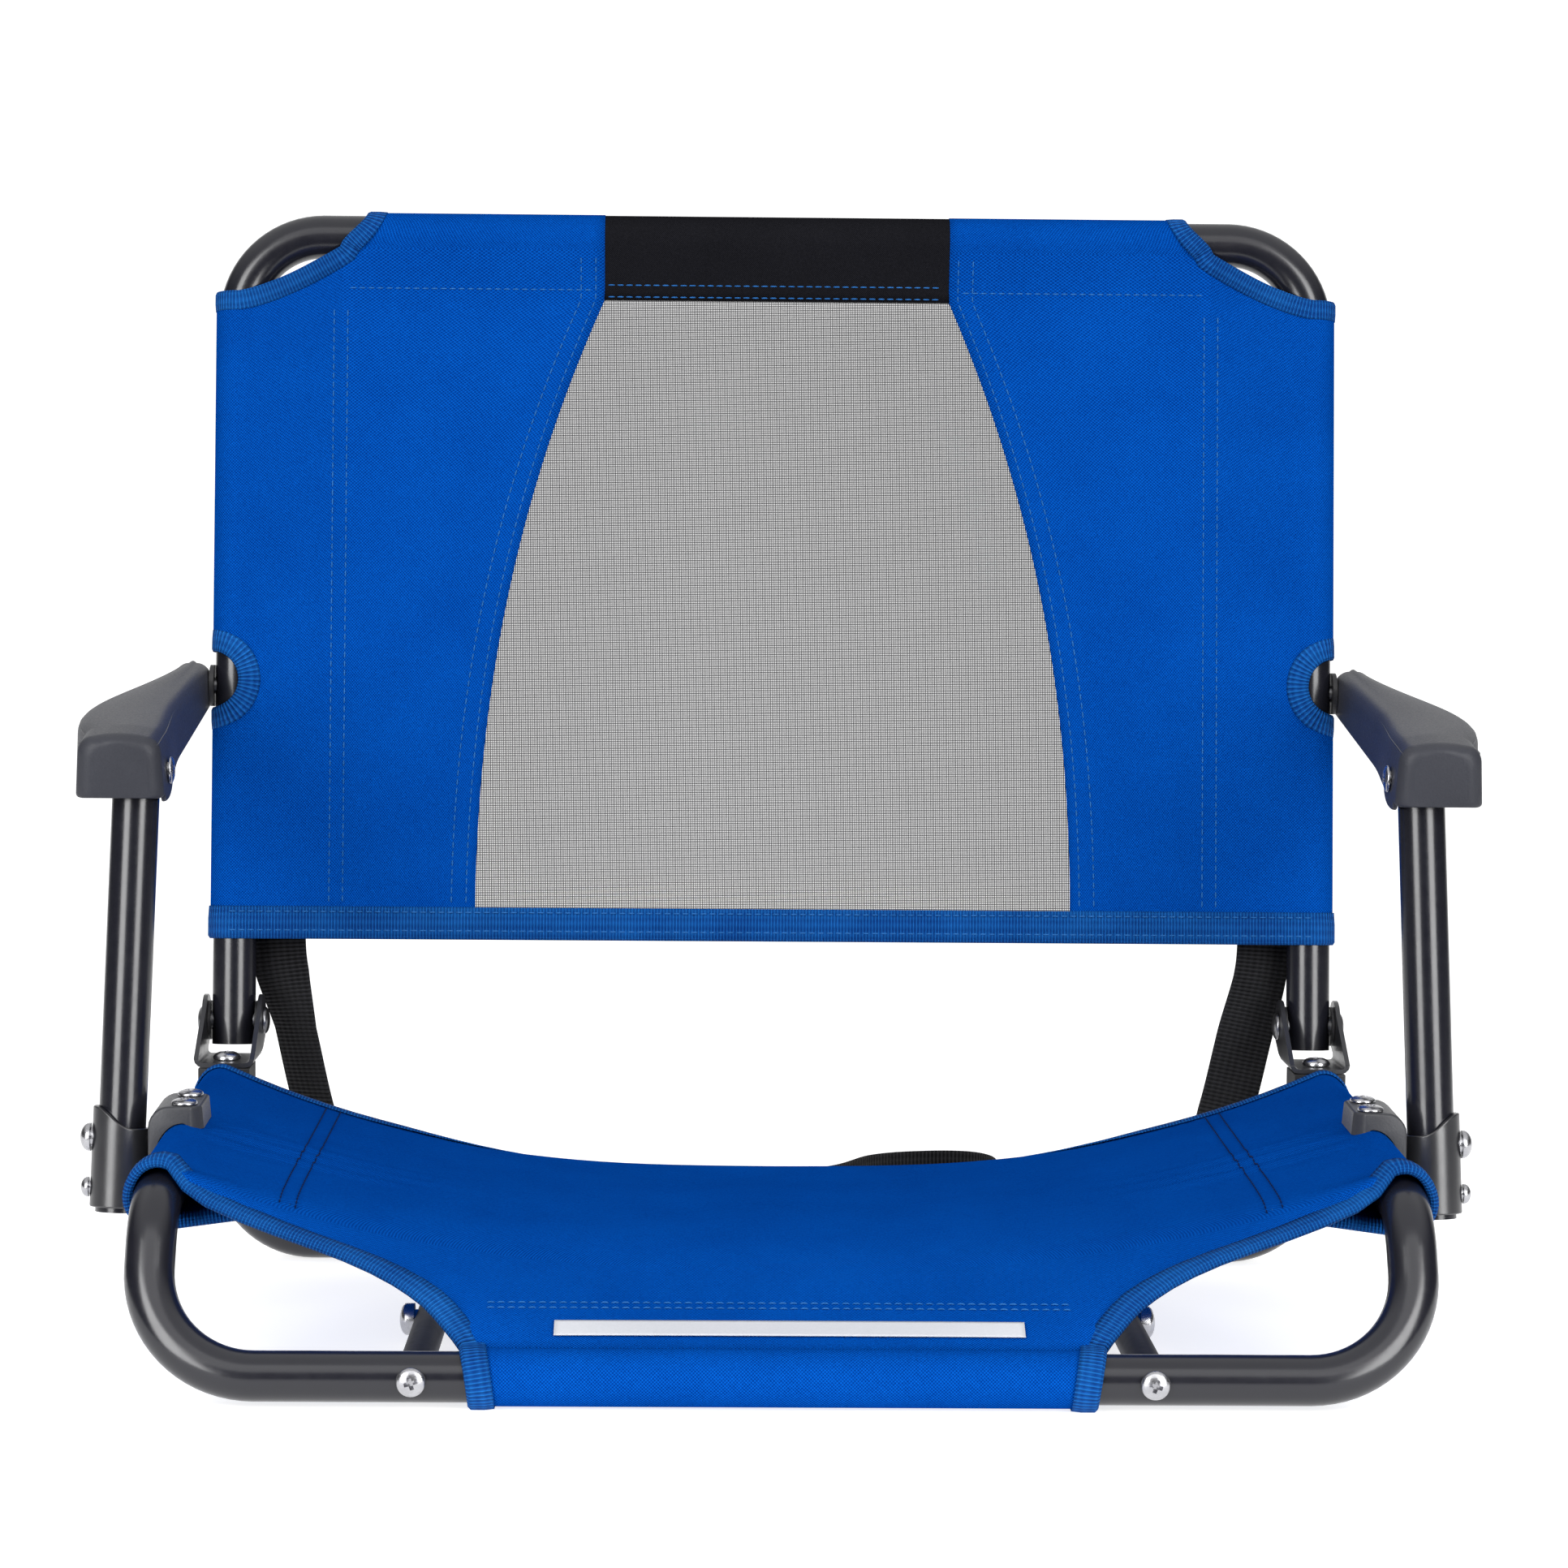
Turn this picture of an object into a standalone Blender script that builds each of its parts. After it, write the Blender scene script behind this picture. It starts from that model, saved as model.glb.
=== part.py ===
# Folding bleacher seat: steel tube frame, sewn sling and back, moulded arms, bench hook.
# Metres, +Z up, the sitter faces -Y, origin on the bench under the middle of the seat.
import bmesh
import bpy
from math import cos, pi, radians, sin, sqrt, tan
from mathutils import Matrix, Vector

for old in list(bpy.data.objects):
    bpy.data.objects.remove(old, do_unlink=True)

# Stock and fits
TUBE_D = 0.019
TUBE_WALL = 0.0012
TUBE_SIDES = 12
FIT = 0.0003
RUN = 0.0008
CLOTH = 0.0012

# Seat frame, measured behind and above the front rail
FRAME_HALF = 0.238
KNEE_BACK = 0.031
KNEE_Z = 0.070
RAIL_SLOPE = radians(1.9)
KNEE_R = 0.030
CORNER_R = 0.041
REAR_BEND_R = 0.028
REAR_CORNER_R = 0.035
SPIGOT_LEN = 0.060

# Back hinge, back frame and the arm linkage
HINGE_BACK = 0.311
HINGE_LIFT = 0.0262
RECLINE = radians(5.5)
BACK_LEN = 0.348
BACK_TAIL = 0.0105
BACK_CORNER_R = 0.037
LINK = 0.148
PIVOT_BACK = 0.140
PIVOT_LIFT = 0.0054

# Lower stretchers and bench hook
STRETCHER_X = 0.138
STRETCHER_D = 0.013
STRETCHER_WALL = 0.0012
SADDLE = 0.003
SADDLE_PLUG = 0.014
SCREW_D = 0.005
SCREW_HEAD_D = 0.011
SCREW_HEAD_H = 0.0032
SCREW_GRIP = 0.010
ROD_BACK = 0.115
ROD_D = 0.008
ROD_CAP_D = 0.013
ROD_CAP_LEN = 0.006
HOOK_WIDTH = 0.026
HOOK_THICK = 0.0035
HOOK_ARM = 0.080
HOOK_FOOT = 0.026
HOOK_BEND_R = 0.006

# Hinge bracket
BRACKET_W = 0.0262
BRACKET_WALL = 0.002
BRACKET_FOOT = 0.039
BRACKET_LUG_R = 0.0115
BRACKET_BEND_R = 0.003
BRACKET_NOSE = 0.0035
BOLT_AHEAD = 0.028
BOLT_D = 0.006
BOLT_HEAD_D = 0.012
BOLT_HEAD_H = 0.0035
BOLT_GRIP = 0.008
PACKER_LEN = 0.026
PACKER_LIFT = 0.0012
PACKER_SKIRT = 0.006
RIVET_D = 0.008
RIVET_HEAD_D = 0.012
RIVET_HEAD_H = 0.0025
BUSH_D = 0.017

# Arm clip, post and shoe
CLIP_LEN = 0.035
CLIP_LEG = 0.0026
CLIP_PAD = 0.0095
CLIP_REACH = 0.008
CLIP_DROP = 0.010
CLIP_CHAMFER = 0.0038
CLIP_SCREW_GAP = 0.021
SHOE_WALL = 0.002
SHOE_DROP = 0.028
SHOE_EAR = 0.0125
SHOE_LIP = 0.004
SHOE_FLANGE = 0.008
POST_POKE = 0.002
POST_HEAD = 0.007
POST_TUCK = 0.0021
PIN_D = 0.005
PIN_DROP = 0.020
PIN_HEAD_D = 0.008

# Armrest
ARM_CLEAR = 0.0010
ARM_WALL = 0.0018
ARM_W_REAR = 0.0154
ARM_W_FRONT = 0.0305
ARM_SWELL = 0.0135
ARM_FLARE = 0.0060
ARM_FLARE_FROM = 0.64
ARM_REAR_HALF = 0.0100
ARM_CROWN = 0.0175
ARM_BELLY = 0.005
ARM_EAR = 0.0085
ARM_NOSE = 0.022
ARM_EDGE_R = 0.005
ARM_SKIN = 0.003
ARM_SPOT = 0.0005
ARM_HOLLOW_START = 0.026
ARM_RIVET_D = 0.007
ARM_BUSH_D = 0.018

# Seat sling
SLING_REAR_AHEAD = 0.049
SLING_REAR = HINGE_BACK - SLING_REAR_AHEAD
SLING_SAG_REAR = 0.0405
SLING_FRONT_LIFT = 0.025
SAG_POWER = 2.7
SAG_EASE = 5
SLING_FLAP = 0.050
SLING_SLEEVE_TURN = 0.2
LEAVE = radians(22)
APRON_HALF = 0.120
APRON_TOUCH = radians(62)
APRON_LEAVE = radians(350)
APRON_FLAP = 0.016
APRON_FLAP_BACK = 0.014
APRON_WIDTH_EASE = 0.56
APRON_DROP_EASE = 0.79

# Back cloth, measured up the back from the hinge
HEM_UP = 0.037
SLEEVE_TOP = 0.314
SLEEVE_SEAM = 0.045
TOP_SEAM = 0.027
TOP_LEAVE = radians(20)
CORNER_CUT_IN = 0.054
CORNER_CUT_DOWN = 0.005
BELL_TOP = 0.075
BELL_BOTTOM = 0.132
NOTCH_UP = 0.152
NOTCH_HALF = 0.023
NOTCH_DEEP = 0.021

# Carry strap
STRAP_W = 0.025
STRAP_T = 0.0016
STRAP_REACH = 0.155
STRAP_STAND = 0.036

TUBE_R = TUBE_D / 2
WRAP_R = TUBE_R + FIT + CLOTH / 2
CLOTH_OUT = TUBE_R + FIT + CLOTH
FRONT_Z = CLOTH_OUT
REAR_Z = TUBE_R * cos(pi / TUBE_SIDES)
FRONT_Y = -(HINGE_BACK + BACK_LEN * sin(RECLINE)) / 2


def at(x, back, z):
    """A point at this distance behind the front rail."""
    return Vector((x, back + FRONT_Y, z))


def rail_z(back):
    """Height of the side rails' centre line."""
    return KNEE_Z + (back - KNEE_BACK) * tan(RAIL_SLOPE)


HINGE_Z = rail_z(HINGE_BACK) + HINGE_LIFT
PIVOT_Z = rail_z(PIVOT_BACK) + PIVOT_LIFT
BACK_UP = Vector((0, sin(RECLINE), cos(RECLINE)))
BACK_FRONT = Vector((0, -cos(RECLINE), sin(RECLINE)))
HINGE = at(0, HINGE_BACK, HINGE_Z)
PIVOT = at(0, PIVOT_BACK, PIVOT_Z)
ARM_REAR = HINGE + BACK_UP * LINK
ARM_FRONT = PIVOT + BACK_UP * LINK
CLIP_FACE = FRAME_HALF + CLOTH_OUT + FIT + CLIP_LEG
POST_X = CLIP_FACE + RUN + SHOE_WALL + FIT + TUBE_R
ARM_IN = FRAME_HALF + CLOTH_OUT + ARM_CLEAR
POST_TOP_X = ARM_IN + ARM_WALL + RUN + TUBE_R - POST_TUCK
SIDES = (("left", -1), ("right", 1))


# Materials
def finish(name, colour, roughness, metallic):
    mat = bpy.data.materials.new(name)
    mat.use_nodes = True
    shader = mat.node_tree.nodes["Principled BSDF"]
    shader.inputs["Base Color"].default_value = (*colour, 1)
    shader.inputs["Roughness"].default_value = roughness
    shader.inputs["Metallic"].default_value = metallic
    return mat


FRAME_PAINT = finish("frame_paint", (0.055, 0.055, 0.06), 0.35, 0.4)
BRACKET_PAINT = finish("bracket_paint", (0.045, 0.045, 0.05), 0.4, 0.4)
ZINC = finish("zinc", (0.55, 0.55, 0.56), 0.3, 1.0)
RIVET_STEEL = finish("rivet_steel", (0.12, 0.12, 0.125), 0.35, 0.8)
ARM_PLASTIC = finish("arm_plastic", (0.035, 0.036, 0.04), 0.55, 0.0)
CLIP_PLASTIC = finish("clip_plastic", (0.075, 0.077, 0.082), 0.55, 0.0)
BLACK_PLASTIC = finish("black_plastic", (0.012, 0.012, 0.013), 0.5, 0.0)
BLUE_CLOTH = finish("blue_cloth", (0.014, 0.045, 0.25), 0.9, 0.0)
MESH_CLOTH = finish("mesh_cloth", (0.02, 0.02, 0.022), 0.9, 0.0)
WEBBING = finish("webbing", (0.015, 0.015, 0.016), 0.85, 0.0)


# Joint axes: every moving piece hangs on an empty on its own axis
def axis_empty(name, place, parent=None):
    empty = bpy.data.objects.new(name, None)
    empty.empty_display_size = 0.02
    bpy.context.collection.objects.link(empty)
    if parent:
        empty.parent = parent
        place = place - parent.location
    empty.location = place
    return empty


SEAT = axis_empty("seat_origin", Vector((0, 0, 0)))
BACK = axis_empty("back_axis", HINGE, SEAT)
HOOK_Z = FRONT_Z + (REAR_Z - FRONT_Z) * ROD_BACK / HINGE_BACK
ROD = at(0, ROD_BACK, HOOK_Z)
HOOK = axis_empty("hook_axis", ROD, SEAT)
ARM = {s: axis_empty(f"arm_axis_{n}", Vector((s * ARM_IN, *ARM_REAR.yz)), BACK) for n, s in SIDES}
POST = {s: axis_empty(f"post_axis_{n}", Vector((s * POST_X, *PIVOT.yz)), SEAT) for n, s in SIDES}


def world_place(empty):
    place = Vector((0, 0, 0))
    while empty:
        place += empty.location
        empty = empty.parent
    return place


def add(name, bm, mat, parent, sharp=35):
    """Turns a mesh drawn in the seat's frame into a named object on its joint axis."""
    bmesh.ops.recalc_face_normals(bm, faces=bm.faces)
    bmesh.ops.translate(bm, verts=bm.verts, vec=-world_place(parent))
    mesh = bpy.data.meshes.new(name)
    bm.to_mesh(mesh)
    bm.free()
    mesh.shade_smooth()
    mesh.set_sharp_from_angle(angle=radians(sharp))
    mesh.materials.append(mat)
    obj = bpy.data.objects.new(name, mesh)
    bpy.context.collection.objects.link(obj)
    obj.parent = parent
    return obj


def cut(obj, name, bm, operation="DIFFERENCE"):
    """Cuts a piece with a hidden tool drawn in the seat's frame."""
    tool = add(name, bm, BLACK_PLASTIC, SEAT)
    tool.hide_render = True
    tool.display_type = "WIRE"
    boolean = obj.modifiers.new(name, "BOOLEAN")
    boolean.operation = operation
    boolean.object = tool


# Shape helpers
def rounded(points, radii, steps):
    """A path with an arc of the given radius at each inner corner."""
    path = [points[0]]
    for p, before, after, r in zip(points[1:-1], points, points[2:], radii):
        a, b = (before - p).normalized(), (after - p).normalized()
        half = a.angle(b) / 2
        start, end = p + a * r / tan(half), p + b * r / tan(half)
        centre = p + (a + b).normalized() * r / sin(half)
        turn = (start - centre).cross(end - centre).normalized()
        for k in range(steps + 1):
            spin = Matrix.Rotation((pi - 2 * half) * k / steps, 3, turn)
            path.append(centre + spin @ (start - centre))
    return path + [points[-1]]


def directions(path):
    ahead = [(b - a).normalized() for a, b in zip(path, path[1:])]
    return [ahead[0]] + [(a + b).normalized() for a, b in zip(ahead, ahead[1:])] + [ahead[-1]]


def ring(bm, centre, along, up, radius, sides):
    """A ring of points whose flats, not corners, face up and down."""
    side = along.cross(up)
    turns = [2 * pi * (k + 0.5) / sides for k in range(sides)]
    return [bm.verts.new(centre + (up * cos(t) + side * sin(t)) * radius) for t in turns]


def join(bm, a, b):
    for k in range(len(a)):
        n = (k + 1) % len(a)
        bm.faces.new((a[k], a[n], b[n], b[k]))


def tube(bm, path, diameter, wall, up, sides=TUBE_SIDES):
    """A hollow tube with open ends, or a solid bar where wall is None."""
    layers = [diameter / 2] if wall is None else [diameter / 2, diameter / 2 - wall]
    skins = [[] for _ in layers]
    last = None
    for point, along in zip(path, directions(path)):
        if last:
            up = last.rotation_difference(along) @ up
        up = (up - along * up.dot(along)).normalized()
        last = along
        for skin, radius in zip(skins, layers):
            skin.append(ring(bm, point, along, up, radius, sides))
    for skin in skins:
        for a, b in zip(skin, skin[1:]):
            join(bm, a, b)
    for end in (0, -1):
        if wall is None:
            bm.faces.new(skins[0][end])
        else:
            join(bm, skins[0][end], skins[1][end])


def turned(bm, profile, origin, axis, bored=False, sides=10):
    """A turned piece: the profile holds (distance along the axis, radius) pairs."""
    axis = axis.normalized()
    up = axis.orthogonal().normalized()
    rows = []
    for along, radius in profile:
        centre = origin + axis * along
        rows.append(ring(bm, centre, axis, up, radius, sides) if radius else bm.verts.new(centre))
    for a, b in zip(rows, rows[1:] + rows[:1] if bored else rows[1:]):
        if isinstance(a, list) and isinstance(b, list):
            join(bm, a, b)
        else:
            tip, loop = (a, b) if isinstance(b, list) else (b, a)
            for k in range(sides):
                bm.faces.new((loop[k], loop[(k + 1) % sides], tip))


def drill(bm, start, end, diameter, sides=12):
    """A round cutter whose flats clear a shank of this diameter."""
    radius = diameter / 2 / cos(pi / sides)
    length = (end - start).length
    turned(bm, [(0, 0), (0, radius), (length, radius), (length, 0)], start, end - start, sides=sides)


def prism(bm, outline, shift):
    """An outline pushed along a vector."""
    a = [bm.verts.new(p) for p in outline]
    b = [bm.verts.new(p + shift) for p in outline]
    join(bm, a, b)
    bm.faces.new(a)
    bm.faces.new(b)


def loft(bm, sections):
    """Closed sections joined one after the other, with flat ends."""
    rows = [[bm.verts.new(p) for p in section] for section in sections]
    for a, b in zip(rows, rows[1:]):
        join(bm, a, b)
    bm.faces.new(rows[0])
    bm.faces.new(rows[-1])


def sheet(bm, rows):
    """A grid of cloth points; equal points of neighbouring grids are merged later."""
    grid = [[bm.verts.new(p) for p in row] for row in rows]
    for a, b in zip(grid, grid[1:]):
        for k in range(len(a) - 1):
            bm.faces.new((a[k], a[k + 1], b[k + 1], b[k]))


def add_cloth(name, bm, mat, parent, thick=CLOTH):
    bmesh.ops.remove_doubles(bm, verts=bm.verts, dist=0.00005)
    obj = add(name, bm, mat, parent, sharp=60)
    solid = obj.modifiers.new("thickness", "SOLIDIFY")
    solid.thickness = thick
    solid.offset = 0
    return obj


def mix(a, b, t):
    return a + (b - a) * t


def screw(name, seat, into, parent, mat, shank_d, head_d, head_h, grip):
    """A pan-head screw: the head sits on a point, the shank runs into the part."""
    bm = bmesh.new()
    profile = [(-head_h, 0), (-head_h, head_d * 0.32), (-head_h * 0.45, head_d / 2), (0, head_d / 2),
               (0, shank_d / 2), (grip, shank_d / 2), (grip, 0)]
    turned(bm, profile, seat - into.normalized() * FIT, into)
    return add(name, bm, mat, parent)


def rivet(name, outside, inside, parent, shank_d, head_d, head_h, tail_d, mat=None):
    """A dome-headed rivet between two faces; a tail of the shank's own size ends flush."""
    bm = bmesh.new()
    axis = inside - outside
    length = axis.length + FIT * (2 if tail_d > shank_d else -1)
    profile = [(-head_h, 0), (-head_h, head_d * 0.3), (-head_h * 0.4, head_d / 2), (0, head_d / 2),
               (0, shank_d / 2), (length, shank_d / 2)]
    if tail_d > shank_d:
        profile += [(length, tail_d / 2), (length + head_h * 0.5, tail_d / 2), (length + head_h, tail_d * 0.3)]
        profile.append((length + head_h, 0))
    else:
        profile.append((length, 0))
    turned(bm, profile, outside - axis.normalized() * FIT, axis)
    return add(name, bm, mat or RIVET_STEEL, parent)


X_AXIS, Y_AXIS, Z_AXIS = Vector((1, 0, 0)), Vector((0, 1, 0)), Vector((0, 0, 1))
RAIL = Vector((0, cos(RAIL_SLOPE), sin(RAIL_SLOPE)))
RAIL_UP = Vector((0, -sin(RAIL_SLOPE), cos(RAIL_SLOPE)))

# Seat frame: two bent tubes that meet inside the arm clips on a spigot
joint_front, joint_rear = PIVOT_BACK - FIT / 2, PIVOT_BACK + FIT / 2
front_corners = [at(-FRAME_HALF, joint_front, rail_z(joint_front)), at(-FRAME_HALF, KNEE_BACK, KNEE_Z),
                 at(-FRAME_HALF, 0, FRONT_Z), at(FRAME_HALF, 0, FRONT_Z),
                 at(FRAME_HALF, KNEE_BACK, KNEE_Z), at(FRAME_HALF, joint_front, rail_z(joint_front))]
rear_corners = [at(-FRAME_HALF, joint_rear, rail_z(joint_rear)), at(-FRAME_HALF, HINGE_BACK, rail_z(HINGE_BACK)),
                at(-FRAME_HALF, HINGE_BACK, REAR_Z), at(FRAME_HALF, HINGE_BACK, REAR_Z),
                at(FRAME_HALF, HINGE_BACK, rail_z(HINGE_BACK)), at(FRAME_HALF, joint_rear, rail_z(joint_rear))]
front_path = rounded(front_corners, [KNEE_R, CORNER_R, CORNER_R, KNEE_R], 6)
rear_path = rounded(rear_corners, [REAR_BEND_R, REAR_CORNER_R, REAR_CORNER_R, REAR_BEND_R], 6)

bm = bmesh.new()
tube(bm, front_path, TUBE_D, TUBE_WALL, RAIL_UP)
front_tube = add("front_seat_tube", bm, FRAME_PAINT, SEAT)
bm = bmesh.new()
tube(bm, rear_path, TUBE_D, TUBE_WALL, RAIL_UP)
rear_tube = add("rear_seat_tube", bm, FRAME_PAINT, SEAT)
for side, s in SIDES:
    bm = bmesh.new()
    middle = at(s * FRAME_HALF, PIVOT_BACK, rail_z(PIVOT_BACK))
    ends = [middle - RAIL * SPIGOT_LEN / 2, middle + RAIL * SPIGOT_LEN / 2]
    tube(bm, ends, TUBE_D - 2 * TUBE_WALL - 2 * FIT, TUBE_WALL, RAIL_UP)
    add(f"joint_spigot_{side}", bm, ZINC, SEAT)

# Lower stretchers between the foot rails, each end on a moulded saddle with one screw
front_holes, rear_holes = bmesh.new(), bmesh.new()
for side, s in SIDES:
    front_end = at(s * STRETCHER_X, 0, FRONT_Z)
    rear_end = at(s * STRETCHER_X, HINGE_BACK, REAR_Z)
    run = (rear_end - front_end).normalized()
    seat_out = TUBE_R + FIT + SADDLE
    bm = bmesh.new()
    tube(bm, [front_end + run * (seat_out + FIT), rear_end - run * (seat_out + FIT)],
         STRETCHER_D, STRETCHER_WALL, Z_AXIS)
    stretcher = add(f"stretcher_{side}", bm, FRAME_PAINT, SEAT)
    rod_hole = bmesh.new()
    drill(rod_hole, ROD + X_AXIS * (s * STRETCHER_X - STRETCHER_D), ROD + X_AXIS * (s * STRETCHER_X + STRETCHER_D),
          ROD_D + 2 * FIT)
    cut(stretcher, f"rod_hole_{side}", rod_hole)
    for end, rail, inward, holes in (("front", front_end, run, front_holes), ("rear", rear_end, -run, rear_holes)):
        bm = bmesh.new()
        bore = SCREW_D / 2 + FIT
        plug_r = STRETCHER_D / 2 - STRETCHER_WALL - FIT
        profile = [(TUBE_R / 2, bore), (TUBE_R / 2, STRETCHER_D / 2), (seat_out, STRETCHER_D / 2),
                   (seat_out, plug_r), (seat_out + SADDLE_PLUG, plug_r), (seat_out + SADDLE_PLUG, bore)]
        turned(bm, profile, rail, inward, bored=True, sides=12)
        saddle = add(f"stretcher_saddle_{end}_{side}", bm, BLACK_PLASTIC, SEAT)
        cope = bmesh.new()
        drill(cope, rail - X_AXIS * STRETCHER_D, rail + X_AXIS * STRETCHER_D, TUBE_D + 2 * FIT, sides=16)
        cut(saddle, f"cope_{end}_{side}", cope)
        head = rail - inward * TUBE_R
        screw(f"stretcher_screw_{end}_{side}", head, inward, SEAT, ZINC, SCREW_D, SCREW_HEAD_D, SCREW_HEAD_H,
              TUBE_D + SADDLE + SCREW_GRIP)
        drill(holes, head - inward * TUBE_R / 2, rail + inward * (TUBE_R + TUBE_WALL), SCREW_D + 2 * FIT)
cut(front_tube, "front_screw_holes", front_holes)

# Bench hook on a cross rod between the stretchers, stowed flat under the seat
bm = bmesh.new()
rod_half = STRETCHER_X + STRETCHER_D / 2 + FIT + ROD_CAP_LEN / 2
tube(bm, [ROD - X_AXIS * rod_half, ROD + X_AXIS * rod_half], ROD_D, None, Z_AXIS, sides=10)
add("hook_rod", bm, ZINC, SEAT)
for side, s in SIDES:
    bm = bmesh.new()
    inner, bore = rod_half - ROD_CAP_LEN / 2, ROD_D / 2 + FIT
    outer = inner + ROD_CAP_LEN
    profile = [(outer, 0), (outer, ROD_CAP_D * 0.3), (inner + ROD_CAP_LEN * 0.6, ROD_CAP_D / 2),
               (inner, ROD_CAP_D / 2), (inner, bore), (rod_half + FIT, bore), (rod_half + FIT, 0)]
    turned(bm, profile, ROD, X_AXIS * s)
    add(f"hook_rod_cap_{side}", bm, ZINC, SEAT)

eye = ROD_D / 2 + FIT + HOOK_THICK / 2
eye_path = [ROD + Vector((0, cos(t), sin(t))) * eye for t in [radians(-340 + 25 * k) for k in range(11)]]
heel = ROD + Vector((0, HOOK_ARM, -eye))
hook_path = eye_path[:-1] + rounded([eye_path[-1], heel, heel + Z_AXIS * HOOK_FOOT], [HOOK_BEND_R], 4)
bm = bmesh.new()
sheet(bm, [[p - X_AXIS * HOOK_WIDTH / 2 for p in hook_path], [p + X_AXIS * HOOK_WIDTH / 2 for p in hook_path]])
add_cloth("bench_hook", bm, FRAME_PAINT, HOOK, thick=HOOK_THICK)

# Hinge brackets: a folded channel on a packer that seats on the side rail, held by one bolt
bolt_back = HINGE_BACK - BOLT_AHEAD
packer_top = rail_z(bolt_back) + TUBE_R + FIT + PACKER_LIFT
base_z = packer_top + FIT
ear = BRACKET_W / 2 - BRACKET_WALL / 2
for side, s in SIDES:
    x = X_AXIS * s * FRAME_HALF
    bolt = at(0, bolt_back, packer_top) + x
    hinge = HINGE + x
    mid = base_z + BRACKET_WALL / 2
    channel = [Vector((-ear, 0, HINGE_Z + BRACKET_LUG_R * 1.2)), Vector((-ear, 0, mid)),
               Vector((ear, 0, mid)), Vector((ear, 0, HINGE_Z + BRACKET_LUG_R * 1.2))]
    fold = rounded(channel, [BRACKET_BEND_R, BRACKET_BEND_R], 3)
    foot_front, foot_rear = HINGE_BACK + 0.004 - BRACKET_FOOT - BRACKET_LUG_R / 2, HINGE_BACK - BRACKET_LUG_R
    bm = bmesh.new()
    sheet(bm, [[p + x + Y_AXIS * (back + FRONT_Y) for p in fold]
               for back in (foot_front - 0.002, HINGE_BACK + 2 * BRACKET_LUG_R)])
    bracket = add_cloth(f"hinge_bracket_{side}", bm, BRACKET_PAINT, SEAT, thick=BRACKET_WALL)
    lug = [at(0, HINGE_BACK, HINGE_Z) + Vector((0, cos(t), sin(t))) * BRACKET_LUG_R
           for t in [radians(-40 + 185 * k / 9) for k in range(10)]]
    outline = [at(0, foot_front, base_z - FIT), at(0, foot_rear, base_z - FIT)] + lug
    outline.append(at(0, foot_front, base_z + BRACKET_NOSE))
    tool = bmesh.new()
    prism(tool, [p + x - X_AXIS * BRACKET_W for p in outline], X_AXIS * 2 * BRACKET_W)
    cut(bracket, f"ear_outline_{side}", tool, "INTERSECT")
    holes = bmesh.new()
    drill(holes, bolt - Z_AXIS * BRACKET_WALL, bolt + Z_AXIS * 3 * BRACKET_WALL, BOLT_D + 2 * FIT)
    drill(holes, hinge - X_AXIS * BRACKET_W, hinge + X_AXIS * BRACKET_W, RIVET_D + 2 * FIT)
    cut(bracket, f"bracket_holes_{side}", holes)

    packer_half = BRACKET_W / 2 - BRACKET_WALL
    seat_z = rail_z(bolt_back) + TUBE_R - PACKER_SKIRT
    bm = bmesh.new()
    block = [Vector((-packer_half, 0, seat_z)), Vector((packer_half, 0, seat_z)),
             Vector((packer_half, 0, packer_top)), Vector((-packer_half, 0, packer_top))]
    prism(bm, [p + x + Y_AXIS * (bolt.y - PACKER_LEN / 2) for p in block], Y_AXIS * PACKER_LEN)
    packer = add(f"bracket_packer_{side}", bm, BLACK_PLASTIC, SEAT)
    tool = bmesh.new()
    centre = at(0, bolt_back, rail_z(bolt_back)) + x
    drill(tool, centre - RAIL * PACKER_LEN, centre + RAIL * PACKER_LEN, TUBE_D + 2 * FIT, sides=16)
    cut(packer, f"packer_seat_{side}", tool)
    shank = bmesh.new()
    drill(shank, bolt - Z_AXIS * (PACKER_LIFT + 2 * BOLT_GRIP), bolt + Z_AXIS * PACKER_LIFT, BOLT_D + 2 * FIT)
    cut(packer, f"packer_hole_{side}", shank)
    drill(rear_holes, bolt - Z_AXIS * (PACKER_LIFT + TUBE_R), bolt + Z_AXIS * PACKER_LIFT, BOLT_D + 2 * FIT)
    screw(f"bracket_bolt_{side}", bolt + Z_AXIS * (FIT + BRACKET_WALL), -Z_AXIS, SEAT, ZINC, BOLT_D, BOLT_HEAD_D,
          BOLT_HEAD_H, BRACKET_WALL + PACKER_LIFT + BOLT_GRIP)
    face = X_AXIS * s * (BRACKET_W / 2)
    rivet(f"hinge_rivet_{side}", hinge + face, hinge - face, SEAT, RIVET_D, RIVET_HEAD_D, RIVET_HEAD_H, RIVET_HEAD_D)
cut(rear_tube, "rear_screw_holes", rear_holes)

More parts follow.
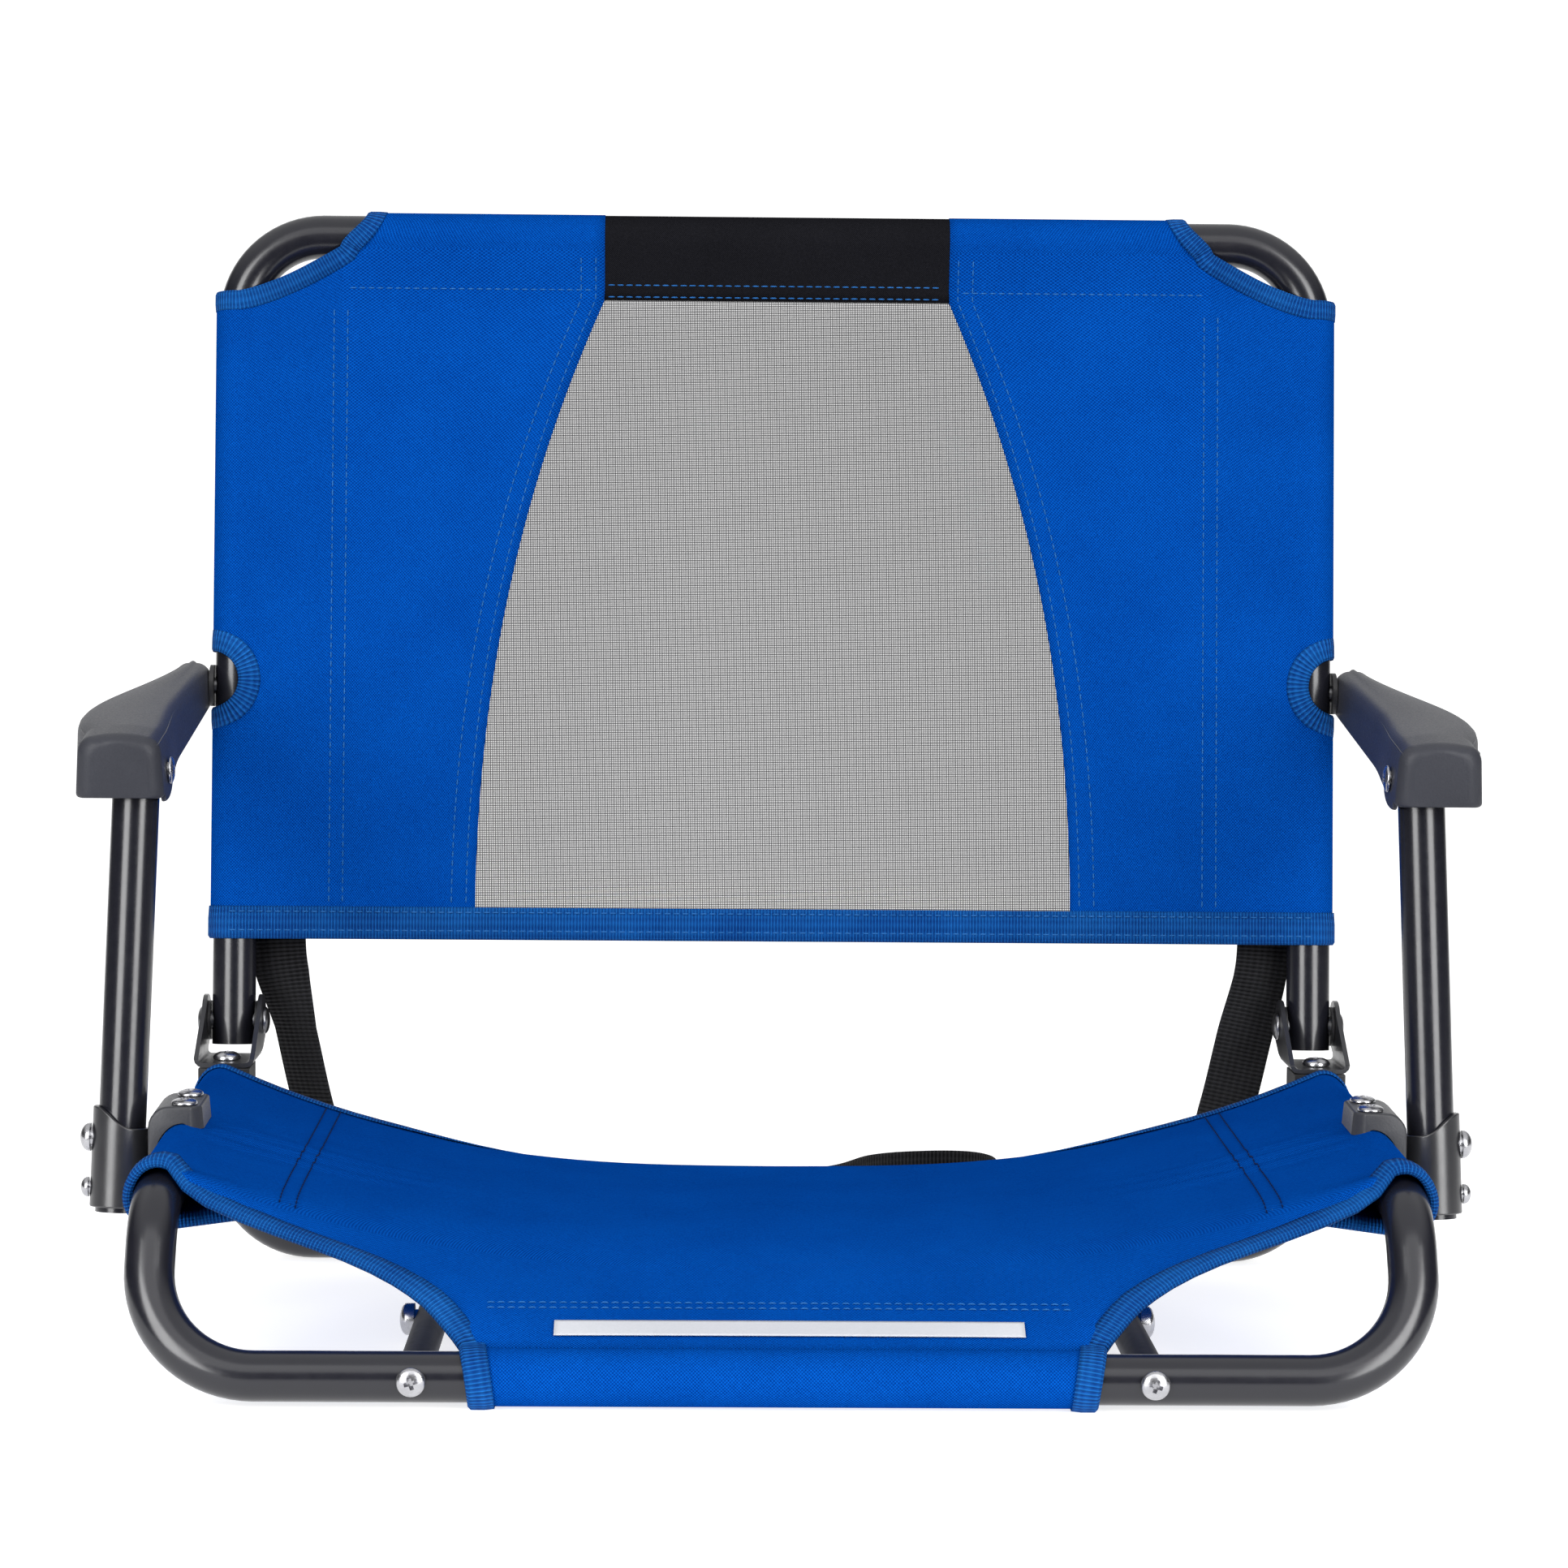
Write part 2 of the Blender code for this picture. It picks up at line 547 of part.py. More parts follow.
# Back frame, hung between the bracket ears on two bushes a side
back_corners = [HINGE - BACK_UP * BACK_TAIL - X_AXIS * FRAME_HALF, HINGE + BACK_UP * BACK_LEN - X_AXIS * FRAME_HALF,
                HINGE + BACK_UP * BACK_LEN + X_AXIS * FRAME_HALF, HINGE - BACK_UP * BACK_TAIL + X_AXIS * FRAME_HALF]
bm = bmesh.new()
tube(bm, rounded(back_corners, [BACK_CORNER_R, BACK_CORNER_R], 8), TUBE_D, TUBE_WALL, BACK_FRONT)
back_frame = add("back_frame", bm, FRAME_PAINT, BACK)
holes = bmesh.new()
for side, s in SIDES:
    for centre, bore in ((HINGE, RIVET_D), (ARM_REAR, ARM_RIVET_D)):
        middle = centre + X_AXIS * s * FRAME_HALF
        drill(holes, middle - X_AXIS * TUBE_D, middle + X_AXIS * TUBE_D, bore + 2 * FIT)
    for place, out in (("inner", -s), ("outer", s)):
        bm = bmesh.new()
        start, end = TUBE_R + FIT, BRACKET_W / 2 - BRACKET_WALL - FIT
        bore = RIVET_D / 2 + FIT
        turned(bm, [(start, bore), (start, BUSH_D / 2), (end, BUSH_D / 2), (end, bore)],
               HINGE + X_AXIS * s * FRAME_HALF, X_AXIS * out, bored=True, sides=12)
        add(f"hinge_bush_{place}_{side}", bm, BLACK_PLASTIC, BACK)
cut(back_frame, "back_frame_holes", holes)

# Arm clips: moulded saddles over the sleeved rail that carry the post pivots
rail_mid = {s: at(s * FRAME_HALF, PIVOT_BACK, rail_z(PIVOT_BACK)) for _, s in SIDES}
saddle_r = CLOTH_OUT + FIT
for side, s in SIDES:
    pad_top = saddle_r + CLIP_PAD
    face = saddle_r + CLIP_LEG
    turns = [radians(-40) + (pi / 2 + LEAVE + radians(40)) * k / 10 for k in range(11)]
    corner_r = saddle_r / cos((turns[1] - turns[0]) / 2)
    inside = [(corner_r * cos(t), corner_r * sin(t)) for t in turns]
    under = corner_r * cos(LEAVE) + (corner_r * sin(LEAVE) - CLIP_REACH) * tan(LEAVE)
    outside = [(-CLIP_REACH, under), (-CLIP_REACH, pad_top - CLIP_CHAMFER / 2),
               (-CLIP_REACH + CLIP_CHAMFER / 2, pad_top), (face - 2 * CLIP_CHAMFER, pad_top),
               (face - CLIP_CHAMFER / 2, pad_top - CLIP_CHAMFER), (face, pad_top - 2 * CLIP_CHAMFER),
               (face, -CLIP_DROP + CLIP_CHAMFER / 2), (face - CLIP_CHAMFER / 2, -CLIP_DROP)]
    outline = [rail_mid[s] + X_AXIS * s * a + RAIL_UP * b - RAIL * CLIP_LEN / 2 for a, b in inside + outside]
    bm = bmesh.new()
    prism(bm, outline, RAIL * CLIP_LEN)
    clip = add(f"arm_clip_{side}", bm, CLIP_PLASTIC, SEAT)
    holes = bmesh.new()
    for place, step in (("front", -0.5), ("rear", 0.5)):
        seat = rail_mid[s] + RAIL * CLIP_SCREW_GAP * step + RAIL_UP * pad_top
        screw(f"clip_screw_{place}_{side}", seat, -RAIL_UP, SEAT, ZINC, SCREW_D, SCREW_HEAD_D, SCREW_HEAD_H,
              CLIP_PAD - RUN)
        drill(holes, seat - RAIL_UP * (CLIP_PAD + FIT), seat + RAIL_UP * FIT, SCREW_D + 2 * FIT)
    pivot = Vector((s * POST_X, *PIVOT.yz))
    stop = Vector((s * (FRAME_HALF + saddle_r + CLIP_LEG * 0.15), *PIVOT.yz))
    drill(holes, stop, pivot, RIVET_D + 2 * FIT)
    cut(clip, f"clip_holes_{side}", holes)
    flush = stop + X_AXIS * s * FIT
    head = Vector((s * (POST_X + TUBE_R + FIT + SHOE_WALL + FIT), *PIVOT.yz))
    rivet(f"post_pivot_rivet_{side}", head, flush, SEAT, RIVET_D, RIVET_HEAD_D, RIVET_HEAD_H, RIVET_D, ZINC)

# Arm posts in stamped shoes, parallel to the back
for side, s in SIDES:
    foot = Vector((s * POST_X, *PIVOT.yz))
    head = Vector((s * POST_TOP_X, *ARM_FRONT.yz))
    lean = (head - foot).normalized()
    front = (BACK_FRONT - lean * BACK_FRONT.dot(lean)).normalized()
    across = X_AXIS * s
    across = (across - lean * across.dot(lean)).normalized()
    bm = bmesh.new()
    tube(bm, [foot - lean * (SHOE_DROP + POST_POKE), head + lean * POST_HEAD], TUBE_D, TUBE_WALL, front)
    post = add(f"arm_post_{side}", bm, FRAME_PAINT, POST[s])
    pin = foot - lean * PIN_DROP
    reach = X_AXIS * s * 2 * TUBE_D
    holes = bmesh.new()
    drill(holes, foot - reach, foot + reach, RIVET_D + 2 * FIT)
    drill(holes, pin - reach, pin + reach, PIN_D + 2 * FIT)
    drill(holes, head - reach, head + reach, ARM_RIVET_D + 2 * RUN)
    cut(post, f"post_holes_{side}", holes)

    shoe_r = TUBE_R + FIT + SHOE_WALL / 2
    bend = [(-shoe_r, -SHOE_FLANGE)] + [(-shoe_r * cos(pi * k / 10), shoe_r * sin(pi * k / 10)) for k in range(11)]
    bend.append((shoe_r, -SHOE_FLANGE))
    rows = []
    for level in (0, 0.35, 0.75, 1):
        row = []
        for a, b in bend:
            lip = mix(SHOE_EAR, SHOE_LIP, max(0, b / shoe_r) ** 1.5)
            row.append(foot + across * a + front * b + lean * mix(-SHOE_DROP, lip, level))
        rows.append(row)
    bm = bmesh.new()
    sheet(bm, rows)
    shoe = add_cloth(f"post_shoe_{side}", bm, BRACKET_PAINT, POST[s], thick=SHOE_WALL)
    holes = bmesh.new()
    drill(holes, foot - reach, foot + reach, RIVET_D + 2 * FIT)
    drill(holes, pin - reach, pin + reach, PIN_D + 2 * FIT)
    cut(shoe, f"shoe_holes_{side}", holes)
    flange = X_AXIS * s * (TUBE_R + FIT + SHOE_WALL)
    rivet(f"shoe_rivet_{side}", pin + flange + X_AXIS * s * FIT, pin - flange, POST[s], PIN_D, PIN_HEAD_D,
          RIVET_HEAD_H * 0.6, PIN_D, ZINC)

# Armrests: hollow mouldings, open below, that take the folded posts
span = ARM_FRONT - ARM_REAR
arm_len = span.length
arm_ahead = span.normalized()
arm_up = Vector((0, -arm_ahead.z, arm_ahead.y)) * -1
if arm_up.z < 0:
    arm_up = -arm_up


def arm_width(share):
    """Width of the arm from its rear pivot (0) to its front pivot (1)."""
    share = min(1, max(0, share))
    return mix(ARM_W_REAR, ARM_W_FRONT, share) + ARM_SWELL * sin(pi * share**1.8)


def arm_inner(share):
    """Inner face of the arm: straight past the sleeve, then flared in at the front."""
    t = min(1, max(0, (share - ARM_FLARE_FROM) / (1 - ARM_FLARE_FROM)))
    return -ARM_FLARE * t * t * (3 - 2 * t)


def arm_top(share):
    return mix(ARM_REAR_HALF, ARM_CROWN, min(1, max(0, share)))


def arm_section(s, along, grow, droop):
    """One cross-section, shrunk by grow on its sides and top, hanging droop below the belly."""
    share = along / arm_len
    top, belly = arm_top(share), -mix(ARM_REAR_HALF, ARM_BELLY, min(1, max(0, share))) - droop
    inner, outer = arm_inner(share), arm_width(share)
    if along < 0:
        top = sqrt(max(0.0, 1 - (along / ARM_REAR_HALF) ** 2)) * ARM_REAR_HALF
        belly = -top
    nose = along - (arm_len + ARM_NOSE - ARM_EDGE_R * 1.6)
    if nose > 0:
        tuck = ARM_EDGE_R * 1.6 - sqrt(max(0.0, (ARM_EDGE_R * 1.6) ** 2 - nose**2))
        inner, outer, top = inner + tuck, outer - tuck, top - tuck * 0.6
    inner, outer, top = inner + grow[0], outer - grow[1], top - grow[2]
    r = ARM_EDGE_R if grow[2] == 0 else 0.001
    r = min(r, (top - belly) * 0.45, (outer - inner) * 0.4)
    loop = [(inner, belly), (inner, top - r), (inner + r * 0.3, top - r * 0.3), (inner + r, top),
            (outer - r, top), (outer - r * 0.3, top - r * 0.3), (outer, top - r), (outer, belly)]
    centre = ARM_REAR + arm_ahead * along
    return [centre + X_AXIS * s * (ARM_IN + a) + arm_up * b for a, b in loop]


ear_dip = [(-1.15, 0), (-0.8, 0.72), (0, 1), (0.8, 0.72), (1.15, 0)]
for side, s in SIDES:
    stations = [(-ARM_REAR_HALF * k, 0) for k in (0.96, 0.75, 0.4)] + [(0, 0)]
    stations += [(arm_len * k, 0) for k in (0.16, 0.32, 0.46, 0.58, 0.7, 0.82)]
    stations += [(arm_len + ARM_EAR * a, (ARM_EAR - ARM_BELLY) * b) for a, b in ear_dip]
    nose_start = arm_len + ARM_NOSE - ARM_EDGE_R * 1.6
    stations += [(nose_start + ARM_EDGE_R * 1.6 * k, 0) for k in (0, 0.5, 0.85, 0.99)]
    bm = bmesh.new()
    loft(bm, [arm_section(s, along, (0, 0, 0), droop) for along, droop in stations])
    arm = add(f"armrest_{side}", bm, ARM_PLASTIC, ARM[s], sharp=50)
    hollow = bmesh.new()
    walls = (ARM_WALL, ARM_WALL, ARM_SKIN)
    inside = [mix(ARM_HOLLOW_START, nose_start - FIT * 5, k / 9) for k in range(10)]
    inside += [arm_len + ARM_NOSE - ARM_SKIN]
    loft(hollow, [arm_section(s, along, walls, ARM_EAR) for along in inside])
    cut(arm, f"arm_hollow_{side}", hollow)
    rear = Vector((s * (ARM_IN + ARM_W_REAR - ARM_SPOT), *ARM_REAR.yz))
    front_in = Vector((s * (ARM_IN - ARM_FLARE), *ARM_FRONT.yz))
    front_out = Vector((s * (ARM_IN + arm_width(1) - ARM_SPOT), *ARM_FRONT.yz))
    holes = bmesh.new()
    drill(holes, rear + X_AXIS * s * ARM_W_REAR, rear - X_AXIS * s * 2 * ARM_W_REAR, ARM_RIVET_D + 2 * FIT)
    drill(holes, front_in - X_AXIS * s * ARM_WALL, front_out + X_AXIS * s * ARM_WALL, ARM_RIVET_D + 2 * FIT)
    cut(arm, f"arm_holes_{side}", holes)
    spot = bmesh.new()
    for seat in (front_out, rear):
        drill(spot, seat, seat + X_AXIS * s * 2 * ARM_WALL, RIVET_HEAD_D + 4 * FIT)
    cut(arm, f"arm_spot_{side}", spot)
    bm = bmesh.new()
    start, end = FRAME_HALF + TUBE_R + FIT, ARM_IN - FIT
    bore = ARM_RIVET_D / 2 + FIT
    turned(bm, [(start, bore), (start, ARM_BUSH_D / 2), (end, ARM_BUSH_D / 2), (end, bore)],
           Vector((0, *ARM_REAR.yz)), X_AXIS * s, bored=True, sides=12)
    add(f"arm_bush_{side}", bm, BLACK_PLASTIC, ARM[s])
    tube_in = Vector((s * (FRAME_HALF - TUBE_R), *ARM_REAR.yz))
    rivet(f"arm_rear_rivet_{side}", rear, tube_in, ARM[s], ARM_RIVET_D, RIVET_HEAD_D, RIVET_HEAD_H, RIVET_HEAD_D * 0.8)
    rivet(f"arm_front_rivet_{side}", front_in, front_out, ARM[s], ARM_RIVET_D, RIVET_HEAD_D * 0.9,
          RIVET_HEAD_H * 0.7, RIVET_HEAD_D * 0.9, ZINC)

# Seat sling: sleeves on the side rails, a sagging seat, an apron sleeved on the front rail
left_rail = rounded(front_corners[:3], [KNEE_R], 6)
rail_way = directions(left_rail)
knee_points = [(p, d) for p, d in zip(left_rail[1:-1], rail_way[1:-1])]
sleeve_stations = []
straight = left_rail[1].y - FRONT_Y
for k in range(7):
    back = mix(SLING_REAR, straight, k / 7)
    sleeve_stations.append((at(-FRAME_HALF, back, rail_z(back)), -RAIL))
turned_knee = [(p, d) for p, d in knee_points][: 1 + int(6 * SLING_SLEEVE_TURN)]
sleeve_stations += turned_knee


def sling_row(index, count):
    """One row across the sling: sleeve flap, sleeve, seat, sleeve, flap."""
    centre, along = sleeve_stations[index]
    up = X_AXIS.cross(along).normalized()
    if up.z < 0:
        up = -up
    share = index / (count - 1)
    edge_z = (centre + up * WRAP_R).z
    low_z = rail_z(SLING_REAR) + WRAP_R - SLING_SAG_REAR
    mid_z = mix(low_z, FRONT_Z + SLING_FRONT_LIFT, share**SAG_EASE)
    mid_y = mix(SLING_REAR, 0.012, share) + FRONT_Y
    half = []
    wrap = [mix(radians(90) - LEAVE, radians(293), k / 9) for k in range(10)]
    ring_points = [centre - X_AXIS * WRAP_R * -cos(t) + up * WRAP_R * sin(t) for t in wrap]
    edge = ring_points[0]
    seat = []
    for k in range(1, 10):
        t = 1 - k / 9
        seat.append(Vector((edge.x * t, mix(mid_y, edge.y, t**2), mix(mid_z, edge.z, t**SAG_POWER))))
    low = ring_points[-1]
    flap_x = -FRAME_HALF + SLING_FLAP
    t = flap_x / edge.x
    join_z = mix(mid_z, edge.z, t**SAG_POWER)
    join_y = mix(mid_y, edge.y, t**2)
    flap_end = Vector((flap_x, join_y, join_z)) - up * (CLOTH * 1.6 + FIT)
    flap = [mix(flap_end, low, k / 3) for k in range(3)]
    half = flap + ring_points[::-1] + seat
    other = [Vector((-p.x, p.y, p.z)) for p in half[:-1]]
    return half + other[::-1]


count = len(sleeve_stations)
rows = [sling_row(k, count) for k in range(count)]
bm = bmesh.new()
sheet(bm, rows)
last = rows[-1][12:-12]
rail_front = at(0, 0, FRONT_Z)
first_touch = rail_front + Vector((0, cos(APRON_TOUCH), sin(APRON_TOUCH))) * WRAP_R
apron = [last]
for k in range(1, 5):
    t = k / 4
    row = []
    for p in last:
        side_share = p.x / abs(last[0].x)
        x = mix(p.x, APRON_HALF * side_share, t**APRON_WIDTH_EASE)
        row.append(Vector((x, mix(p.y, first_touch.y, t), mix(p.z, first_touch.z, t**APRON_DROP_EASE))))
    apron.append(row)
for k in range(1, 13):
    a = mix(APRON_TOUCH, APRON_LEAVE, k / 12)
    row = [Vector((p.x, rail_front.y + cos(a) * WRAP_R, rail_front.z + sin(a) * WRAP_R)) for p in apron[4]]
    apron.append(row)
for k in (1, 2):
    row = []
    for p in apron[16]:
        end = Vector((p.x, rail_front.y + APRON_FLAP_BACK, rail_front.z + APRON_FLAP))
        row.append(mix(p, end, k / 2))
    apron.append(row)
sheet(bm, apron)
add_cloth("seat_sling", bm, BLUE_CLOTH, SEAT)


# Back cloth: two side panels sleeved on the tubes and a bell-shaped mesh between them
def back_at(x, up, front):
    return HINGE + X_AXIS * x + BACK_UP * up + BACK_FRONT * front


def bell(up):
    """Half width of the mesh panel at a height on the back."""
    share = min(1, max(0, (up - HEM_UP) / (BACK_LEN - HEM_UP)))
    return mix(BELL_BOTTOM, BELL_TOP, share**1.9)


top_touch = BACK_LEN - WRAP_R * sin(TOP_LEAVE)
stitch_up = BACK_LEN - TOP_SEAM
seam_x = FRAME_HALF - SLEEVE_SEAM
cut_x = FRAME_HALF - CORNER_CUT_IN
level = [0, 0.13, 0.26, 0.39, 0.52, 0.65, 0.78, (stitch_up - HEM_UP) / (top_touch - HEM_UP), 1]
over_turns = [mix(-TOP_LEAVE, pi + TOP_LEAVE, k / 10) for k in range(11)]
top_wrap = [(BACK_LEN + WRAP_R * sin(a), WRAP_R * cos(a)) for a in over_turns]
top_wrap.append((stitch_up, -CLOTH))


def lift_front(up):
    """How far the front layer stands off the back's mid plane."""
    return mix(CLOTH, WRAP_R * cos(TOP_LEAVE), max(0, (up - stitch_up) / (top_touch - stitch_up)))


for side, s in SIDES:
    columns = []
    for k in range(3):
        t = k / 3
        x = mix(seam_x, FRAME_HALF, t)
        columns.append([(x, mix(HEM_UP, SLEEVE_TOP, v), -mix(CLOTH, WRAP_R, t)) for v in level])
    for k in range(8):
        a = radians(-90 + 180 * k / 8)
        x, f = FRAME_HALF + WRAP_R * cos(a), WRAP_R * sin(a)
        columns.append([(x, mix(HEM_UP, SLEEVE_TOP, v), f) for v in level])
    for k in range(4):
        t = k / 3
        x = mix(FRAME_HALF, seam_x, t)
        arc = sin(t * pi / 2)
        top = mix(SLEEVE_TOP, BACK_LEN - WRAP_R - CORNER_CUT_DOWN, arc**0.8)
        column = []
        for v in level:
            up = mix(HEM_UP, top, v)
            column.append((x, up, mix(WRAP_R, CLOTH, t)))
        columns.append(column)
    inner_columns = []
    for k in range(4):
        column = []
        for v in level:
            up = mix(HEM_UP, top_touch, v)
            x = mix(cut_x, bell(up) + FIT / 2, k / 3)
            column.append((x, up, lift_front(up)))
        inner_columns.append(column)
    columns += inner_columns
    bm = bmesh.new()
    sheet(bm, [[back_at(s * x, up, f) for x, up, f in column] for column in columns])
    over = []
    for column in inner_columns:
        x = column[-1][0]
        over.append([back_at(s * x, up, f) for up, f in top_wrap])
    sheet(bm, over)
    panel = add_cloth(f"back_panel_{side}", bm, BLUE_CLOTH, BACK)
    notch = bmesh.new()
    turns = [2 * pi * k / 20 for k in range(20)]
    outline = [back_at(s * (FRAME_HALF + CLOTH_OUT + NOTCH_DEEP * cos(t)), NOTCH_UP + NOTCH_HALF * sin(t), -TUBE_D)
               for t in turns]
    prism(notch, outline, BACK_FRONT * 2 * TUBE_D)
    cut(panel, f"arm_notch_{side}", notch)

rows = []
for v in level:
    up = mix(HEM_UP, top_touch, v)
    edge = bell(up) - FIT / 2
    rows.append([back_at(edge * k / 4, up, lift_front(up)) for k in range(-4, 5)])
for up, f in top_wrap[1:]:
    rows.append([back_at((bell(top_touch) - FIT / 2) * k / 4, up, f) for k in range(-4, 5)])
bm = bmesh.new()
sheet(bm, rows)
add_cloth("back_mesh", bm, MESH_CLOTH, BACK)

# Carry strap: flat webbing sewn behind the back, lying on edge on the bench in a loop
sew_x = FRAME_HALF - STRAP_W * 0.74
tilt = (WRAP_R - CLOTH) / SLEEVE_SEAM
sew_f = -(CLOTH + (sew_x - seam_x) * tilt) - CLOTH / 2 - 2 * FIT - STRAP_T / 2
lie_z = STRAP_W / 2 + FIT
drop = [back_at(sew_x, HEM_UP + STRAP_W, sew_f), back_at(sew_x, HEM_UP, sew_f),
        back_at(sew_x - STRAP_T, HEM_UP - STRAP_W * 0.64, sew_f - STRAP_T),
        at(sew_x - STRAP_W * 0.28, HINGE_BACK + STRAP_REACH * 0.116, HINGE_Z - STRAP_T * 3.4),
        at(sew_x - STRAP_W * 0.56, HINGE_BACK + STRAP_REACH * 0.155, mix(STRAP_STAND, HINGE_Z, 0.43)),
        at(sew_x - STRAP_W * 0.88, HINGE_BACK + STRAP_REACH * 0.232, STRAP_STAND)]
left_drop = [Vector((-p.x, p.y, p.z)) for p in drop]
lying = [(-0.74, 0.39), (-0.46, 0.49), (-0.17, 0.54), (0.097, 0.645), (0.21, 0.90), (0.315, 0.985), (0.41, 0.98),
         (0.455, 0.87), (0.44, 0.71), (0.465, 0.55), (0.57, 0.425), (0.705, 0.365)]
loop = [at(FRAME_HALF * a, HINGE_BACK + STRAP_REACH * b, lie_z) for a, b in lying]
loop[0].z += STRAP_T
loop[-1].z += STRAP_T
knots = left_drop + loop + drop[::-1]
twist = Vector((-0.8, 0.6, 0))
across = [Vector((-1, *(BACK_FRONT * -tilt).yz))] * 3 + [twist] * 2 + [Vector((-0.7, 0.2, 0.6))]
across += [Z_AXIS] * len(loop) + [Vector((-0.8, 0, 0.6))]
across += [-X_AXIS] * 2 + [Vector((-1, *(BACK_FRONT * tilt).yz))] * 3
strap_path, strap_across = [], []
for k in range(len(knots) - 1):
    before, start, end = knots[max(0, k - 1)], knots[k], knots[k + 1]
    after = knots[min(len(knots) - 1, k + 2)]
    for step in range(5 if k < len(knots) - 2 else 6):
        t = step / 5
        point = start * 2 + (end - before) * t + (before * 2 - start * 5 + end * 4 - after) * t**2
        strap_path.append((point + (start * 3 - before - end * 3 + after) * t**3) / 2)
        strap_across.append(mix(across[k], across[k + 1], t))
bm = bmesh.new()
sections = []
for point, along, wide in zip(strap_path, directions(strap_path), strap_across):
    wide = (wide - along * wide.dot(along)).normalized() * STRAP_W / 2
    thick = along.cross(wide).normalized() * STRAP_T / 2
    sections.append([point + wide + thick, point - wide + thick, point - wide - thick, point + wide - thick])
loft(bm, sections)
add("carry_strap", bm, WEBBING, SEAT)
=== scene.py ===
import bpy
import bmesh
from math import cos, pi, radians, sin, sqrt, tan
from mathutils import Matrix, Vector, noise


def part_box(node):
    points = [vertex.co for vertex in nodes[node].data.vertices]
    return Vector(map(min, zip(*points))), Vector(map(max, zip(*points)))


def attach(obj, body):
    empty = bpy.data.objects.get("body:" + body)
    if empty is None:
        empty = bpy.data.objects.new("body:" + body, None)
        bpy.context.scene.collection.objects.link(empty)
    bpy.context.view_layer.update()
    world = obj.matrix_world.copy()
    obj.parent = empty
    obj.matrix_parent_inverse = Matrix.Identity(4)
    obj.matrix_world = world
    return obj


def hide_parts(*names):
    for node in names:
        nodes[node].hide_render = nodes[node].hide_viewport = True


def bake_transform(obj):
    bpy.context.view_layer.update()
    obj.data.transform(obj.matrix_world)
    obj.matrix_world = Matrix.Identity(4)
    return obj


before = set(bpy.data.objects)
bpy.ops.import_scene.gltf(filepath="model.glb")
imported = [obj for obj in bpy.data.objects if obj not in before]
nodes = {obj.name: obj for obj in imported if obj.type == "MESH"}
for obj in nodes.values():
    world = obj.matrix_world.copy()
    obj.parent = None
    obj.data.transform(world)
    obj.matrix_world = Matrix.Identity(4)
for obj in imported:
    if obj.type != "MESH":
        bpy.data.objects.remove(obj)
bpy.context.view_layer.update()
scene = bpy.context.scene
print("frame loaded with", len(nodes), "CAD nodes")

# main measures of the seat, in metres, the same as in the part's source
frameSizes = {
    "tubeR": 0.0095, "half": 0.238, "fit": 0.0003, "cloth": 0.0012, "sideSeam": 0.045,
    "hingeBack": 0.311, "hingeLift": 0.0262, "kneeBack": 0.031, "kneeZ": 0.070,
    "railSlope": radians(1.9), "recline": radians(5.5), "backLen": 0.348, "backTail": 0.0105,
    "pivotBack": 0.140, "pivotLift": 0.0054, "link": 0.148, "stretcherX": 0.138, "rodBack": 0.115,
    "hem": 0.037, "sleeveRise": 0.0030,
}
tubeR, halfWidth, fit = frameSizes["tubeR"], frameSizes["half"], frameSizes["fit"]
hem, sleeveRise = frameSizes["hem"], frameSizes["sleeveRise"]
clothGap = frameSizes["cloth"]
hingeBack, pivotBack = frameSizes["hingeBack"], frameSizes["pivotBack"]
slope, recline, backLen = frameSizes["railSlope"], frameSizes["recline"], frameSizes["backLen"]
wrapR = tubeR + fit + clothGap / 2
clothOut = tubeR + fit + clothGap
frontZ, rearZ = clothOut, tubeR * cos(pi / 12)
frontY = -(hingeBack + backLen * sin(recline)) / 2
xAxis, yAxis, zAxis = Vector((1, 0, 0)), Vector((0, 1, 0)), Vector((0, 0, 1))
railAlong = Vector((0, cos(slope), sin(slope)))
railUp = Vector((0, -sin(slope), cos(slope)))
backUp = Vector((0, sin(recline), cos(recline)))
backFront = Vector((0, -cos(recline), sin(recline)))
sides = (("left", -1), ("right", 1))


def at(x, back, z):
    return Vector((x, back + frontY, z))


def railZ(back):
    return frameSizes["kneeZ"] + (back - frameSizes["kneeBack"]) * tan(slope)


hinge = at(0, hingeBack, railZ(hingeBack) + frameSizes["hingeLift"])
pivot = at(0, pivotBack, railZ(pivotBack) + frameSizes["pivotLift"])
armRear = hinge + backUp * frameSizes["link"]
armFront = pivot + backUp * frameSizes["link"]
rodPoint = at(0, frameSizes["rodBack"], frontZ + (rearZ - frontZ) * frameSizes["rodBack"] / hingeBack)


def backAt(x, up, front):
    return hinge + xAxis * x + backUp * up + backFront * front


def mix(a, b, t):
    return a + (b - a) * t


def ease(t):
    t = min(1, max(0, t))
    return t * t * (3 - 2 * t)


# how far the loose seat sleeve stands off above the rail, at an angle round it
def sleeveBulge(turnAt):
    return sleeveRise * max(0.0, sin(turnAt)) ** 1.5


def flipX(p):
    return Vector((-p.x, p.y, p.z))


def headings(path):
    ahead = [(b - a).normalized() for a, b in zip(path, path[1:])]
    return [ahead[0]] + [(a + b).normalized() for a, b in zip(ahead, ahead[1:])] + [ahead[-1]]


# points of the arc that rounds off a corner
def cornerArc(before, corner, after, r, steps):
    a, b = (before - corner).normalized(), (after - corner).normalized()
    halfAngle = a.angle(b) / 2
    centre = corner + (a + b).normalized() * r / sin(halfAngle)
    start = corner + a * r / tan(halfAngle) - centre
    end = corner + b * r / tan(halfAngle) - centre
    spin = start.cross(end).normalized()
    sweep = pi - 2 * halfAngle
    return [centre + Matrix.Rotation(sweep * k / steps, 3, spin) @ start for k in range(steps + 1)]


